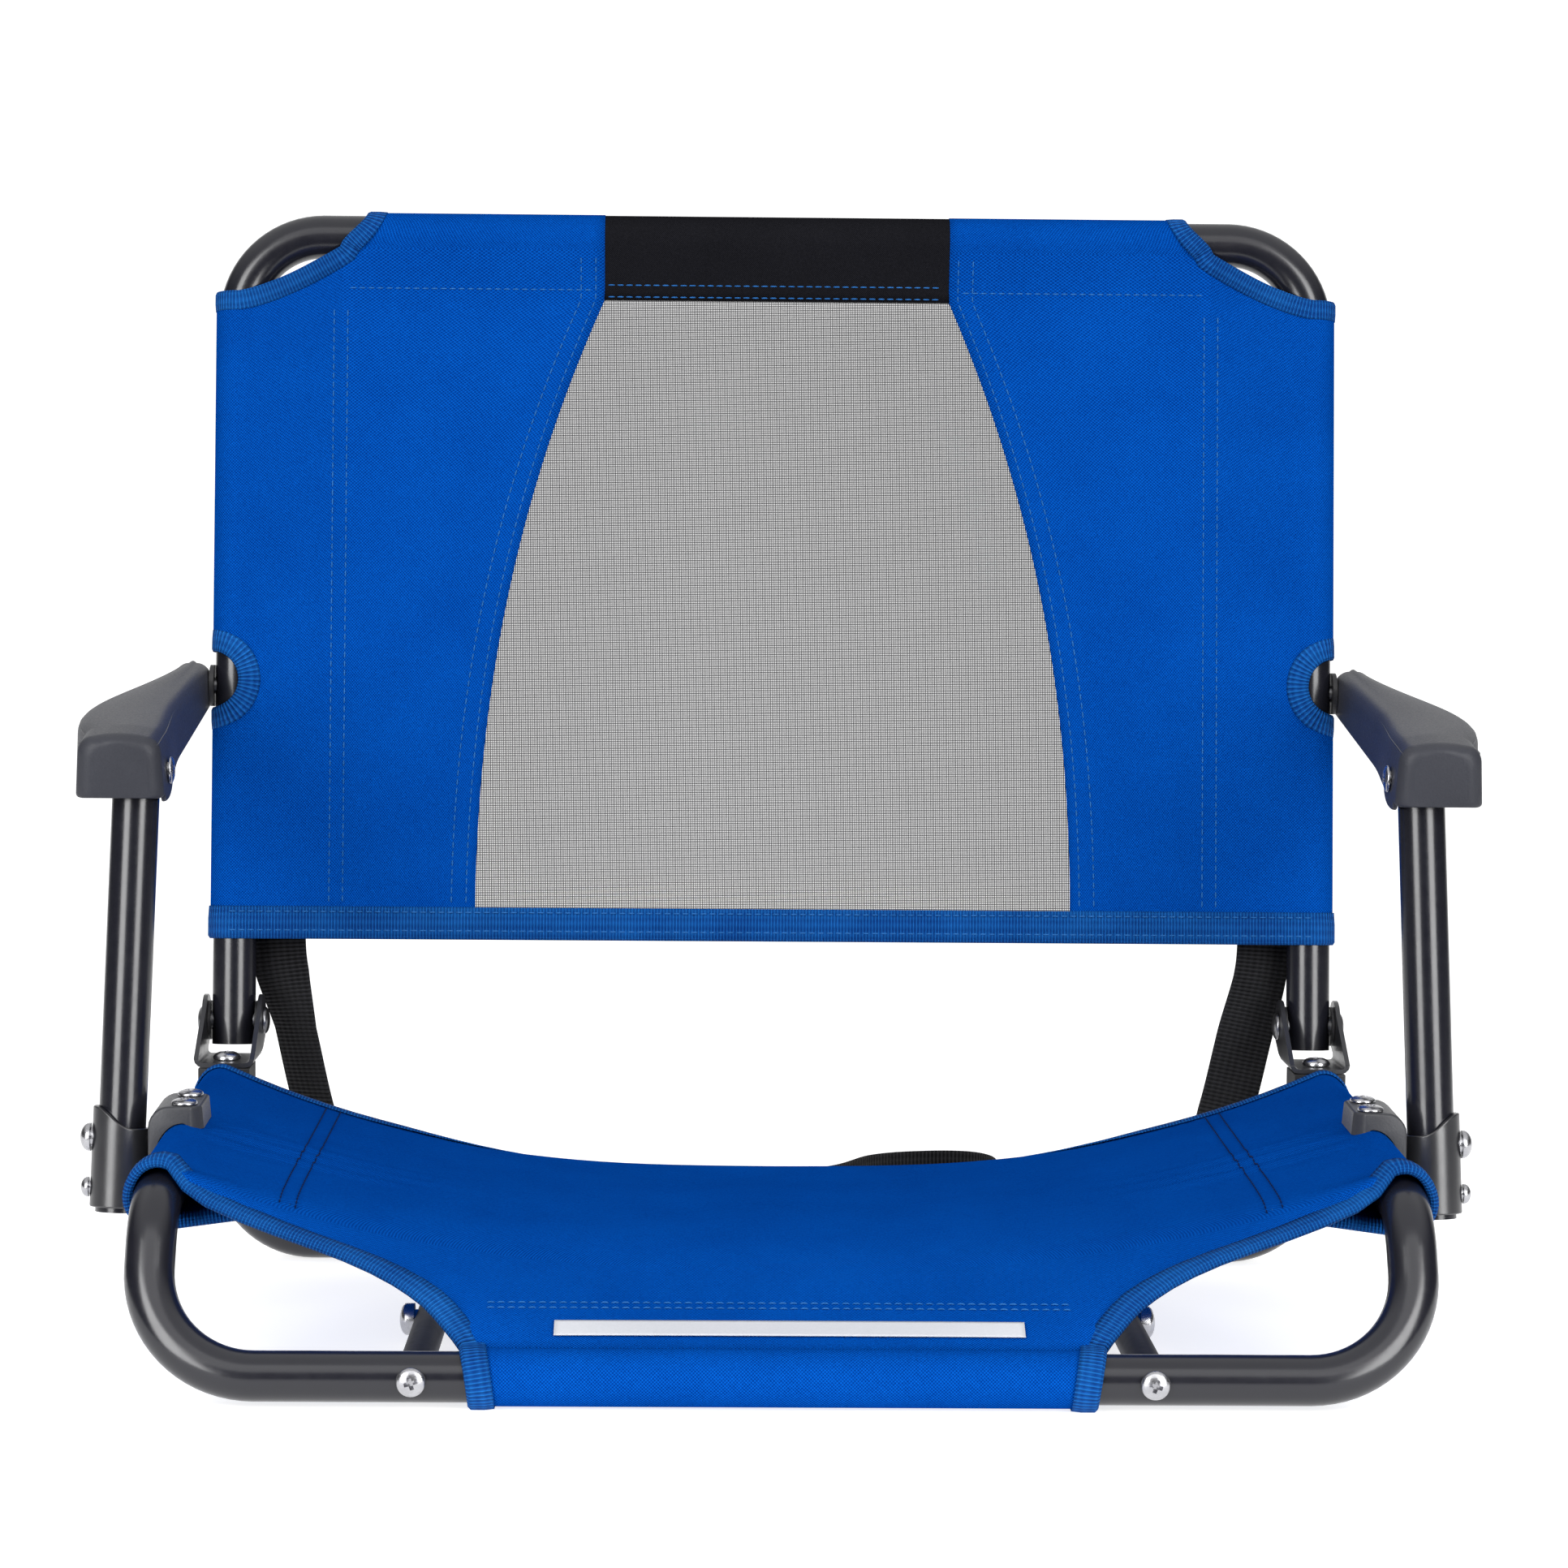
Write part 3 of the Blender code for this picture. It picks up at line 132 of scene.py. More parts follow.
def bentPath(points, radii, steps):
    path = [points[0]]
    for before, corner, after, r in zip(points, points[1:], points[2:], radii):
        path += cornerArc(before, corner, after, r, steps)
    return path + [points[-1]]


# camera, as the photograph was taken
photoCamera = {"place": (-0.032, -1.584, 0.341), "turn": -1.1, "tip": -3.9, "roll": 0.48,
               "focalPixels": 5300, "imagePixels": 1932, "sensor": 36}
cameraData = bpy.data.cameras.new("photoCamera")
cameraData.sensor_fit = "HORIZONTAL"
cameraData.sensor_width = photoCamera["sensor"]
cameraData.lens = photoCamera["sensor"] * photoCamera["focalPixels"] / photoCamera["imagePixels"]
cameraObject = bpy.data.objects.new("photoCamera", cameraData)
scene.collection.objects.link(cameraObject)
turn = Matrix.Rotation(radians(photoCamera["turn"]), 4, "Z")
turn = turn @ Matrix.Rotation(radians(90 + photoCamera["tip"]), 4, "X")
turn = turn @ Matrix.Rotation(radians(photoCamera["roll"]), 4, "Z")
cameraObject.matrix_world = Matrix.Translation(at(*photoCamera["place"])) @ turn
scene.camera = cameraObject
print("camera set")


# node helpers for the finishes
def newFinish(name):
    mat = bpy.data.materials.new(name)
    mat.use_nodes = True
    return mat, mat.node_tree, mat.node_tree.nodes["Principled BSDF"]


def addNode(tree, kind, feeds=None, **settings):
    node = tree.nodes.new(kind)
    for key, value in settings.items():
        setattr(node, key, value)
    for key, value in (feeds or {}).items():
        if isinstance(value, bpy.types.NodeSocket):
            tree.links.new(value, node.inputs[key])
        else:
            node.inputs[key].default_value = value
    return node


def sums(tree, operation, a, b=0.0):
    return addNode(tree, "ShaderNodeMath", {0: a, 1: b}, operation=operation).outputs[0]


def weighted(tree, a, shareA, b, shareB):
    return sums(tree, "ADD", sums(tree, "MULTIPLY", a, shareA), sums(tree, "MULTIPLY", b, shareB))


def grain(tree, place, scale, detail=4.0, rough=0.6):
    return addNode(tree, "ShaderNodeTexNoise",
                   {"Vector": place, "Scale": scale, "Detail": detail, "Roughness": rough}).outputs["Fac"]


def ramp(tree, value, low, high, colourLow, colourHigh):
    node = addNode(tree, "ShaderNodeValToRGB", {"Fac": value})
    node.color_ramp.elements[0].position, node.color_ramp.elements[1].position = low, high
    node.color_ramp.elements[0].color, node.color_ramp.elements[1].color = (*colourLow, 1), (*colourHigh, 1)
    return node.outputs["Color"]


def spread(tree, value, low, high, outLow, outHigh):
    feeds = {"Value": value, "From Min": low, "From Max": high, "To Min": outLow, "To Max": outHigh}
    return addNode(tree, "ShaderNodeMapRange", feeds).outputs["Result"]


def bumps(tree, height, strength, distance, after=None):
    feeds = {"Height": height, "Strength": strength, "Distance": distance}
    if after:
        feeds["Normal"] = after
    return addNode(tree, "ShaderNodeBump", feeds).outputs["Normal"]


def threadWave(tree, value, pitch):
    return sums(tree, "SINE", sums(tree, "MULTIPLY", value, 2 * pi / pitch))


def dress(tree, shader, colour, normal, roughness):
    for socket, value in (("Base Color", colour), ("Normal", normal), ("Roughness", roughness)):
        tree.links.new(value, shader.inputs[socket])


# woven cloth: over and under threads from the cloth's own lengths, with uneven dye, soft creases, and
# colour paler on the raised threads and darker between them as painted highlight and painted shade
def wovenFinish(name, look):
    mat, tree, shader = newFinish(name)
    coords = addNode(tree, "ShaderNodeTexCoord")
    split = addNode(tree, "ShaderNodeSeparateXYZ", {0: coords.outputs["UV"]})
    u, v = split.outputs[0], split.outputs[1]
    place = coords.outputs["Object"]
    slub = grain(tree, place, 900, 2)
    weave = sums(tree, "MULTIPLY", threadWave(tree, u, look["pitch"]), threadWave(tree, v, look["pitch"]))
    height = weighted(tree, weave, 0.5, slub, 0.55)
    # colour follows the weave's height: painted highlight on the raised threads and painted shade between
    # them; the slub and the coarse noise add uneven yarn and dye
    tone = weighted(tree, height, 0.46, grain(tree, place, 24, 3), 0.15)
    soft = bumps(tree, grain(tree, place, 42, 3), 0.22, look["crease"])
    dress(tree, shader, ramp(tree, tone, 0.0, 0.45, look["deep"], look["pale"]),
          bumps(tree, height, look["bump"], look["pitch"] * 0.3, soft),
          spread(tree, slub, 0.3, 0.7, look["rough"] - 0.06, look["rough"] + 0.06))
    shader.inputs["Sheen Weight"].default_value = look["sheen"]
    shader.inputs["Sheen Roughness"].default_value = 0.45
    shader.inputs["Specular IOR Level"].default_value = 0.0
    return mat


# ribbed binding tape and webbing: ribs across the tape, paler on the rib crowns and darker between them as
# painted highlight and painted shade, with random tone from noise
def ribbedFinish(name, look):
    mat, tree, shader = newFinish(name)
    coords = addNode(tree, "ShaderNodeTexCoord")
    split = addNode(tree, "ShaderNodeSeparateXYZ", {0: coords.outputs["UV"]})
    place = coords.outputs["Object"]
    ribs = threadWave(tree, split.outputs[0], look["pitch"])
    cross = threadWave(tree, split.outputs[1], look["cross"])
    fuzz = grain(tree, place, 1100, 2)
    height = weighted(tree, ribs, 0.5, cross, 0.18)
    height = sums(tree, "ADD", height, sums(tree, "MULTIPLY", fuzz, 0.4))
    # colour follows the ribs' height: painted highlight on the crowns and painted shade between the ribs,
    # mixed with random tone
    tone = weighted(tree, height, 0.3, grain(tree, place, 35), 0.4)
    dress(tree, shader, ramp(tree, tone, 0.05, 0.6, look["deep"], look["pale"]),
          bumps(tree, height, look["bump"], look["pitch"] * look["depth"]),
          spread(tree, fuzz, 0.3, 0.7, 0.62, 0.8))
    shader.inputs["Sheen Weight"].default_value = look["sheen"]
    shader.inputs["Specular IOR Level"].default_value = 0.06
    return mat


# open net: crossing black threads with clear holes; the threads are paler along their middles and darker at
# their edges as painted highlight and painted shade, with random tone
def netFinish(name, look):
    mat, tree, shader = newFinish(name)
    coords = addNode(tree, "ShaderNodeTexCoord")
    split = addNode(tree, "ShaderNodeSeparateXYZ", {0: coords.outputs["UV"]})
    place = coords.outputs["Object"]
    strands = [sums(tree, "COSINE", sums(tree, "MULTIPLY", split.outputs[axis], 2 * pi / look["pitch"]))
               for axis in (0, 1)]
    knot = sums(tree, "MAXIMUM", *strands)
    tree.links.new(sums(tree, "GREATER_THAN", knot, cos(pi * look["cover"])), shader.inputs["Alpha"])
    # colour follows the strands' height: painted highlight along each strand's middle and painted shade at
    # its edges, mixed with random tone
    tone = weighted(tree, knot, 0.3, grain(tree, place, 700), 0.6)
    dress(tree, shader, ramp(tree, tone, 0.2, 0.9, look["deep"], look["pale"]),
          bumps(tree, knot, 0.6, 0.0002), spread(tree, tone, 0.2, 0.9, 0.55, 0.75))
    return mat


# powder coat: fine orange peel, dust-sized flecks and small rubs
def coatFinish(name, look):
    mat, tree, shader = newFinish(name)
    place = addNode(tree, "ShaderNodeTexCoord").outputs["Object"]
    peel = grain(tree, place, 1500, 2)
    cloud = grain(tree, place, 40, 5)
    rub = grain(tree, place, 160, 6, 0.75)
    tone = weighted(tree, peel, 0.35, cloud, 0.65)
    dress(tree, shader, ramp(tree, tone, 0.3, 0.75, look["deep"], look["pale"]),
          bumps(tree, peel, look["peel"], 0.00015),
          spread(tree, rub, 0.3, 0.8, look["rough"] - 0.03, look["rough"] + 0.05))
    shader.inputs["Specular IOR Level"].default_value = look["gloss"]
    return mat


# moulded plastic: fine spark grain with faint flow lines
def mouldedFinish(name, look):
    mat, tree, shader = newFinish(name)
    place = addNode(tree, "ShaderNodeTexCoord").outputs["Object"]
    cells = addNode(tree, "ShaderNodeTexVoronoi", {"Vector": place, "Scale": look["spark"]})
    fine = grain(tree, place, 1300, 3)
    height = weighted(tree, cells.outputs["Distance"], 0.7, fine, 0.5)
    tone = weighted(tree, grain(tree, place, 22, 4), 0.6, fine, 0.4)
    dress(tree, shader, ramp(tree, tone, 0.3, 0.7, look["deep"], look["pale"]),
          bumps(tree, height, look["bump"], 0.0002),
          spread(tree, fine, 0.3, 0.7, look["rough"] - 0.05, look["rough"] + 0.08))
    shader.inputs["Specular IOR Level"].default_value = look["gloss"]
    return mat


# plated steel: bright with fine scratches
def platedFinish(name, look):
    mat, tree, shader = newFinish(name)
    place = addNode(tree, "ShaderNodeTexCoord").outputs["Object"]
    stretched = addNode(tree, "ShaderNodeMapping", {"Vector": place, "Scale": (1, 1, 9)}).outputs[0]
    scratch = grain(tree, stretched, 900, 5, 0.7)
    cloud = grain(tree, place, 120, 4)
    dress(tree, shader, ramp(tree, cloud, 0.3, 0.7, look["deep"], look["pale"]),
          bumps(tree, scratch, 0.12, 0.0001),
          spread(tree, scratch, 0.3, 0.7, look["rough"] - 0.06, look["rough"] + 0.1))
    shader.inputs["Metallic"].default_value = 1.0
    return mat


blueCloth = wovenFinish("blueCloth", {
    "pitch": 0.0013, "deep": (0.0004, 0.022, 0.158), "pale": (0.0015, 0.082, 0.420),
    "bump": 0.8, "crease": 0.0012, "rough": 0.9, "sheen": 0.0})
blueTape = ribbedFinish("blueTape", {
    "pitch": 0.0014, "cross": 0.0024, "deep": (0.0008, 0.030, 0.17), "pale": (0.010, 0.135, 0.46),
    "sheen": 0.0, "bump": 1.0, "depth": 0.6})
blueThread = ribbedFinish("blueThread", {
    "pitch": 0.0004, "cross": 0.0003, "deep": (0.006, 0.075, 0.26), "pale": (0.045, 0.19, 0.50),
    "sheen": 0.0, "bump": 0.7, "depth": 0.35})
navyThread = ribbedFinish("navyThread", {
    "pitch": 0.0004, "cross": 0.0003, "deep": (0.0005, 0.007, 0.040), "pale": (0.0015, 0.018, 0.09),
    "sheen": 0.0, "bump": 0.7, "depth": 0.35})
blackNet = netFinish("blackNet", {
    "pitch": 0.0008, "cover": 0.44, "deep": (0.004, 0.004, 0.005), "pale": (0.015, 0.014, 0.017)})
blackLining = wovenFinish("blackLining", {
    "pitch": 0.0009, "deep": (0.004, 0.004, 0.005), "pale": (0.013, 0.013, 0.016),
    "bump": 0.7, "crease": 0.0008, "rough": 0.8, "sheen": 0.0})
blackWebbing = ribbedFinish("blackWebbing", {
    "pitch": 0.0019, "cross": 0.0031, "deep": (0.002, 0.002, 0.0024), "pale": (0.030, 0.030, 0.033),
    "sheen": 0.03, "bump": 1.0, "depth": 0.5})
whitePatch = wovenFinish("whitePatch", {
    "pitch": 0.0006, "deep": (0.40, 0.41, 0.44), "pale": (0.50, 0.51, 0.54),
    "bump": 0.2, "crease": 0.0004, "rough": 0.6, "sheen": 0.0})
frameCoat = coatFinish("frameCoat", {
    "deep": (0.0066, 0.0068, 0.0105), "pale": (0.0084, 0.0086, 0.0130), "rough": 0.23, "peel": 0.012,
    "gloss": 0.55})
# a duller, less glossy copy of the frame coat for the stretchers, so that they look shaded under the seat:
# painted shade
stretcherShadeCoat = coatFinish("stretcherShadeCoat", {
    "deep": (0.0075, 0.0076, 0.0095), "pale": (0.0100, 0.0102, 0.0125), "rough": 0.5, "peel": 0.05,
    "gloss": 0.18})
bracketCoat = coatFinish("bracketCoat", {
    "deep": (0.011, 0.0112, 0.0135), "pale": (0.017, 0.0172, 0.020), "rough": 0.31, "peel": 0.02,
    "gloss": 0.8})
armPlastic = mouldedFinish("armPlastic", {
    "deep": (0.026, 0.0272, 0.034), "pale": (0.036, 0.0375, 0.046), "rough": 0.45,
    "spark": 900, "bump": 0.28, "gloss": 0.2})
clipPlastic = mouldedFinish("clipPlastic", {
    "deep": (0.032, 0.033, 0.037), "pale": (0.043, 0.044, 0.049), "rough": 0.42,
    "spark": 1000, "bump": 0.25, "gloss": 0.35})
blackPlastic = mouldedFinish("blackPlastic", {
    "deep": (0.010, 0.010, 0.011), "pale": (0.022, 0.022, 0.024), "rough": 0.45,
    "spark": 1200, "bump": 0.25, "gloss": 0.4})
zincPlate = platedFinish("zincPlate", {
    "deep": (0.36, 0.36, 0.38), "pale": (0.52, 0.52, 0.54), "rough": 0.24})
darkSteel = platedFinish("darkSteel", {
    "deep": (0.16, 0.16, 0.17), "pale": (0.26, 0.26, 0.27), "rough": 0.30})
print("finishes made")


# mesh helpers
def meshObject(name, bm):
    bmesh.ops.recalc_face_normals(bm, faces=bm.faces)
    mesh = bpy.data.meshes.new(name)
    bm.to_mesh(mesh)
    bm.free()
    obj = bpy.data.objects.new(name, mesh)
    scene.collection.objects.link(obj)
    return obj


def place(name, bm, mat, body=None, instead=(), sharp=40):
    obj = meshObject(name, bm)
    obj.data.shade_smooth()
    obj.data.set_sharp_from_angle(angle=radians(sharp))
    obj.data.materials.append(mat)
    if body:
        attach(obj, body)
    if instead:
        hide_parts(*instead)
    return obj


def circle(centre, up, across, r, count):
    turns = [2 * pi * k / count for k in range(count)]
    return [centre + (up * cos(a) + across * sin(a)) * r for a in turns]


def loopJoin(bm, a, b):
    for k in range(len(a)):
        n = (k + 1) % len(a)
        bm.faces.new((a[k], a[n], b[n], b[k]))


# faces between rows of points, with a texture place for each row and column
def skinRows(bm, layer, rows, placeAt, closed=False):
    count = len(rows[0])
    for i in range(len(rows) - 1):
        for j in range(count if closed else count - 1):
            n = (j + 1) % count
            face = bm.faces.new((rows[i][j], rows[i][n], rows[i + 1][n], rows[i + 1][j]))
            for loop, (r, c) in zip(face.loops, ((i, j), (i, j + 1), (i + 1, j + 1), (i + 1, j))):
                loop[layer].uv = placeAt(r, c)


def runLengths(points, start=0.0):
    lengths = [start]
    for a, b in zip(points, points[1:]):
        lengths.append(lengths[-1] + (b - a).length)
    return lengths


# a grid of cloth points; its texture lengths are real lengths along the cloth
def clothGrid(bm, rows, vStart=0.0, straight=False):
    layer = bm.loops.layers.uv.verify()
    us = runLengths(rows[len(rows) // 2])
    vs = runLengths([row[len(row) // 2] for row in rows], vStart)
    grid = [[bm.verts.new(p) for p in row] for row in rows]
    skinRows(bm, layer, grid, lambda r, c: (rows[r][c].x if straight else us[c], vs[r]))
    return vs[-1]


def thicken(obj, thickness):
    shell = obj.modifiers.new("clothThickness", "SOLIDIFY")
    shell.thickness = thickness
    shell.offset = 0


def softEdges(obj, width, angle):
    soft = obj.modifiers.new("softEdges", "BEVEL")
    soft.width, soft.segments, soft.angle_limit = width, 3, radians(angle)
    soft.harden_normals = True


# folded binding tape over a cloth edge: edge points and the points one step inside the cloth
def bindEdge(bm, edge, inside, width, lift, lip=0.0007):
    layer = bm.loops.layers.uv.verify()
    ways = headings(edge)
    section = [(width, lift * 0.7), (width * 0.6, lift), (0.0004, lift), (-lip, lift * 0.4),
               (-lip, -lift * 0.4), (0.0004, -lift), (width * 0.6, -lift), (width, -lift * 0.7)]
    normals = []
    for point, inner, way in zip(edge, inside, ways):
        n = way.cross(inner - point).normalized()
        normals.append(-n if normals and n.dot(normals[-1]) < 0 else n)
    for _ in range(5):
        between = zip(normals, normals[1:], normals[2:])
        normals = [normals[0]] + [(a + b * 2 + c).normalized() for a, b, c in between] + [normals[-1]]
    lengths = runLengths(edge)
    rows = []
    for point, normal, way in zip(edge, normals, ways):
        inward = normal.cross(way).normalized()
        rows.append([bm.verts.new(point + inward * a + normal * b) for a, b in section])
    skinRows(bm, layer, rows, lambda r, c: (lengths[r], c * width / 3))


# rings of one stitch: share of its length, swell and lift
threadRings = ((0, 0.35, -0.5), (0.2, 0.9, 0.25), (0.5, 1, 0.5), (0.8, 0.9, 0.25), (1, 0.35, -0.5))


# a row of thread stitches along a line on the cloth
def stitchRow(bm, line, normals, step=0.0040, size=0.0029, radius=0.00032, lead=0.0005):
    layer = bm.loops.layers.uv.verify()
    lengths = runLengths(line)

    def along(distance):
        k = 0
        while k < len(lengths) - 2 and lengths[k + 1] < distance:
            k += 1
        t = (distance - lengths[k]) / max(1e-9, lengths[k + 1] - lengths[k])
        return mix(line[k], line[k + 1], t), mix(normals[k], normals[k + 1], t).normalized()

    for k in range(int(lengths[-1] / step)):
        start, normal = along(k * step + lead)
        end, _ = along(k * step + lead + size)
        across = (end - start).normalized().cross(normal).normalized()
        rings = []
        for t, swell, lift in threadRings:
            centre = mix(start, end, t) + normal * radius * lift
            rings.append([bm.verts.new(p) for p in circle(centre, across, normal, radius * swell, 6)])
        skinRows(bm, layer, rings, lambda r, c: (r * size / 4, c * radius), closed=True)


# a hollow tube along a path
def tubeSweep(bm, path, radius, wall, up, count=40):
    skins, last = ([], []), None
    for point, way in zip(path, headings(path)):
        if last:
            up = last.rotation_difference(way) @ up
        up = (up - way * up.dot(way)).normalized()
        last = way
        across = way.cross(up)
        for skin, r in zip(skins, (radius, radius - wall)):
            skin.append([bm.verts.new(p) for p in circle(point, up, across, r, count)])
    for skin in skins:
        for a, b in zip(skin, skin[1:]):
            loopJoin(bm, a, b)
    for end in (0, -1):
        loopJoin(bm, skins[0][end], skins[1][end])


# a piece turned about an axis, from the distance along it and the radius there
def turnedPiece(bm, profile, origin, axis, bored=False, count=36):
    axis = axis.normalized()
    up = axis.orthogonal().normalized()
    across = axis.cross(up)
    rows = []
    for along, r in profile:
        centre = origin + axis * along
        if r:
            rows.append([bm.verts.new(p) for p in circle(centre, up, across, r, count)])
        else:
            rows.append(bm.verts.new(centre))
    for a, b in zip(rows, rows[1:] + rows[:1] if bored else rows[1:]):
        if isinstance(a, list) and isinstance(b, list):
            loopJoin(bm, a, b)
        else:
            tip, loop = (a, b) if isinstance(b, list) else (b, a)
            for k in range(count):
                bm.faces.new((loop[k], loop[(k + 1) % count], tip))


# a quarter round from the tip of a turned head out to its rim
def domeArc(tip, depth, r, steps):
    turns = [pi / 2 * k / steps for k in range(1, steps + 1)]
    return [(tip, 0)] + [(tip + depth * (1 - cos(a)), r * sin(a)) for a in turns]


def turned(name, mat, body, node, profile, origin, axis, bored=False):
    bm = bmesh.new()
    turnedPiece(bm, profile, origin, axis, bored)
    return place(name, bm, mat, body, (node,) if node else ())


# carry strap, made first
carryStrap = {"width": 0.025, "thick": 0.0016, "steps": 12, "edge": 0.0006, "reach": 0.155, "stand": 0.036,
              "sewShare": 0.74}
sideSeam = frameSizes["sideSeam"]
seamX = halfWidth - sideSeam
strapT, strapW = carryStrap["thick"], carryStrap["width"]
strapReach, strapStand = carryStrap["reach"], carryStrap["stand"]
sewX = halfWidth - strapW * carryStrap["sewShare"]
strapTilt = (wrapR - clothGap) / sideSeam
sewFront = -(clothGap + (sewX - seamX) * strapTilt) - clothGap / 2 - 2 * fit - strapT / 2
lieZ = strapW / 2 + fit
strapDrop = [backAt(sewX, hem + strapW, sewFront), backAt(sewX, hem, sewFront),
             backAt(sewX - strapT, hem - strapW * 0.64, sewFront - strapT),
             at(sewX - strapW * 0.28, hingeBack + strapReach * 0.116, hinge.z - strapT * 3.4),
             at(sewX - strapW * 0.56, hingeBack + strapReach * 0.155, mix(strapStand, hinge.z, 0.43)),
             at(sewX - strapW * 0.88, hingeBack + strapReach * 0.232, strapStand)]
strapLying = ((-0.74, 0.39), (-0.46, 0.49), (-0.17, 0.54), (0.097, 0.645), (0.21, 0.90), (0.315, 0.985),
              (0.41, 0.98), (0.455, 0.87), (0.44, 0.71), (0.465, 0.55), (0.57, 0.425), (0.705, 0.365))
strapLoop = [at(halfWidth * a, hingeBack + strapReach * b, lieZ) for a, b in strapLying]
strapLoop[0].z += strapT
strapLoop[-1].z += strapT
strapKnots = [flipX(p) for p in strapDrop] + strapLoop + strapDrop[::-1]
strapAcross = [Vector((-1, *(backFront * -strapTilt).yz))] * 3 + [Vector((-0.8, 0.6, 0))] * 2
strapAcross += [Vector((-0.7, 0.2, 0.6))] + [zAxis] * len(strapLoop) + [Vector((-0.8, 0, 0.6))]
strapAcross += [-xAxis] * 2 + [Vector((-1, *(backFront * strapTilt).yz))] * 3
strapPath, strapWide = [], []
for k in range(len(strapKnots) - 1):
    before, start, end = strapKnots[max(0, k - 1)], strapKnots[k], strapKnots[k + 1]
    after = strapKnots[min(len(strapKnots) - 1, k + 2)]
    for step in range(carryStrap["steps"] + (k == len(strapKnots) - 2)):
        t = step / carryStrap["steps"]
        point = start * 2 + (end - before) * t + (before * 2 - start * 5 + end * 4 - after) * t**2
        strapPath.append((point + (start * 3 - before - end * 3 + after) * t**3) / 2)
        strapWide.append(mix(strapAcross[k], strapAcross[k + 1], t))
strapBm = bmesh.new()
strapUv = strapBm.loops.layers.uv.verify()
strapRows = []
strapLength = runLengths(strapPath)
flatShare = 1 - carryStrap["edge"] / (strapW / 2)
for point, way, wide in zip(strapPath, headings(strapPath), strapWide):
    wide = (wide - way * wide.dot(way)).normalized() * strapW / 2
    thick = way.cross(wide).normalized() * strapT / 2
    flat = wide * flatShare
    ring = [wide, flat + thick, thick * 0.92, thick - flat]
    ring += [-p for p in ring]
    strapRows.append([strapBm.verts.new(point + p) for p in ring])
facing = [0.0, carryStrap["edge"], strapW / 2, strapW - carryStrap["edge"]]
acrossAt = facing + [strapW + a for a in facing] + [2 * strapW]
skinRows(strapBm, strapUv, strapRows, lambda r, c: (strapLength[r], acrossAt[c]), closed=True)
strapBm.faces.new(strapRows[0])
strapBm.faces.new(strapRows[-1][::-1])
strapObject = place("carryStrap", strapBm, blackWebbing, instead=("carry_strap",), sharp=70)
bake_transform(strapObject)
print("carry strap", round(strapLength[-1], 3), "m")

# painted tubes
tubeBends = {"kneeR": 0.030, "cornerR": 0.041, "rearBendR": 0.028, "rearCornerR": 0.035,
             "backCornerR": 0.037, "steps": 18, "wall": 0.0012, "stretcherR": 0.0065,
             "stretcherWall": 0.001, "stretcherGap": 0.0131}
frontEnd, rearEnd = pivotBack - fit / 2, pivotBack + fit / 2
kneeBack, kneeZ = frameSizes["kneeBack"], frameSizes["kneeZ"]
frontCorners = [at(-halfWidth, frontEnd, railZ(frontEnd)), at(-halfWidth, kneeBack, kneeZ),
                at(-halfWidth, 0, frontZ)]
frontCorners += [flipX(p) for p in frontCorners[::-1]]
rearCorners = [at(-halfWidth, rearEnd, railZ(rearEnd)), at(-halfWidth, hingeBack, railZ(hingeBack)),
               at(-halfWidth, hingeBack, rearZ)]
rearCorners += [flipX(p) for p in rearCorners[::-1]]
backCorners = [backAt(-halfWidth, -frameSizes["backTail"], 0), backAt(-halfWidth, backLen, 0)]
backCorners += [flipX(p) for p in backCorners[::-1]]
tubeRuns = (("frontSeatTube", frontCorners, ("kneeR", "cornerR"), railUp, "seat", "front_seat_tube"),
            ("rearSeatTube", rearCorners, ("rearBendR", "rearCornerR"), railUp, "seat", "rear_seat_tube"),
            ("backTube", backCorners, ("backCornerR",), backFront, "back", "back_frame"))
for name, corners, bends, up, body, node in tubeRuns:
    radii = [tubeBends[bend] for bend in bends + bends[::-1]]
    bm = bmesh.new()
    tubeSweep(bm, bentPath(corners, radii, tubeBends["steps"]), tubeR, tubeBends["wall"], up)
    place(name, bm, frameCoat, body, (node,))
for side, s in sides:
    bm = bmesh.new()
    ends = [at(s * frameSizes["stretcherX"], tubeBends["stretcherGap"], frontZ),
            at(s * frameSizes["stretcherX"], hingeBack - tubeBends["stretcherGap"], rearZ)]
    tubeSweep(bm, ends, tubeBends["stretcherR"], tubeBends["stretcherWall"], zAxis, 32)
    place("stretcher." + side, bm, stretcherShadeCoat, "seat", ("stretcher_" + side,))

# arm posts and their stamped shoes
armPost = {"footX": 0.2645, "topX": 0.2600, "poke": 0.002, "head": 0.007, "shoeDrop": 0.028,
           "shoeWall": 0.002, "shoeEar": 0.0125, "shoeLip": 0.004, "shoeRound": 0.004,
           "shoeSoft": 0.0006, "flange": 0.008, "pinDrop": 0.020}
flange, shoeDrop = armPost["flange"], armPost["shoeDrop"]
shoeR = tubeR + fit + armPost["shoeWall"] / 2
shoeBend = [(-shoeR, -flange), (-shoeR, -flange / 2)]
shoeBend += [(-shoeR * cos(pi * k / 28), shoeR * sin(pi * k / 28)) for k in range(29)]
shoeBend += [(shoeR, -flange / 2), (shoeR, -flange)]


def postLine(s):
    foot = Vector((s * armPost["footX"], *pivot.yz))
    head = Vector((s * armPost["topX"], *armFront.yz))
    return foot, head, (head - foot).normalized()


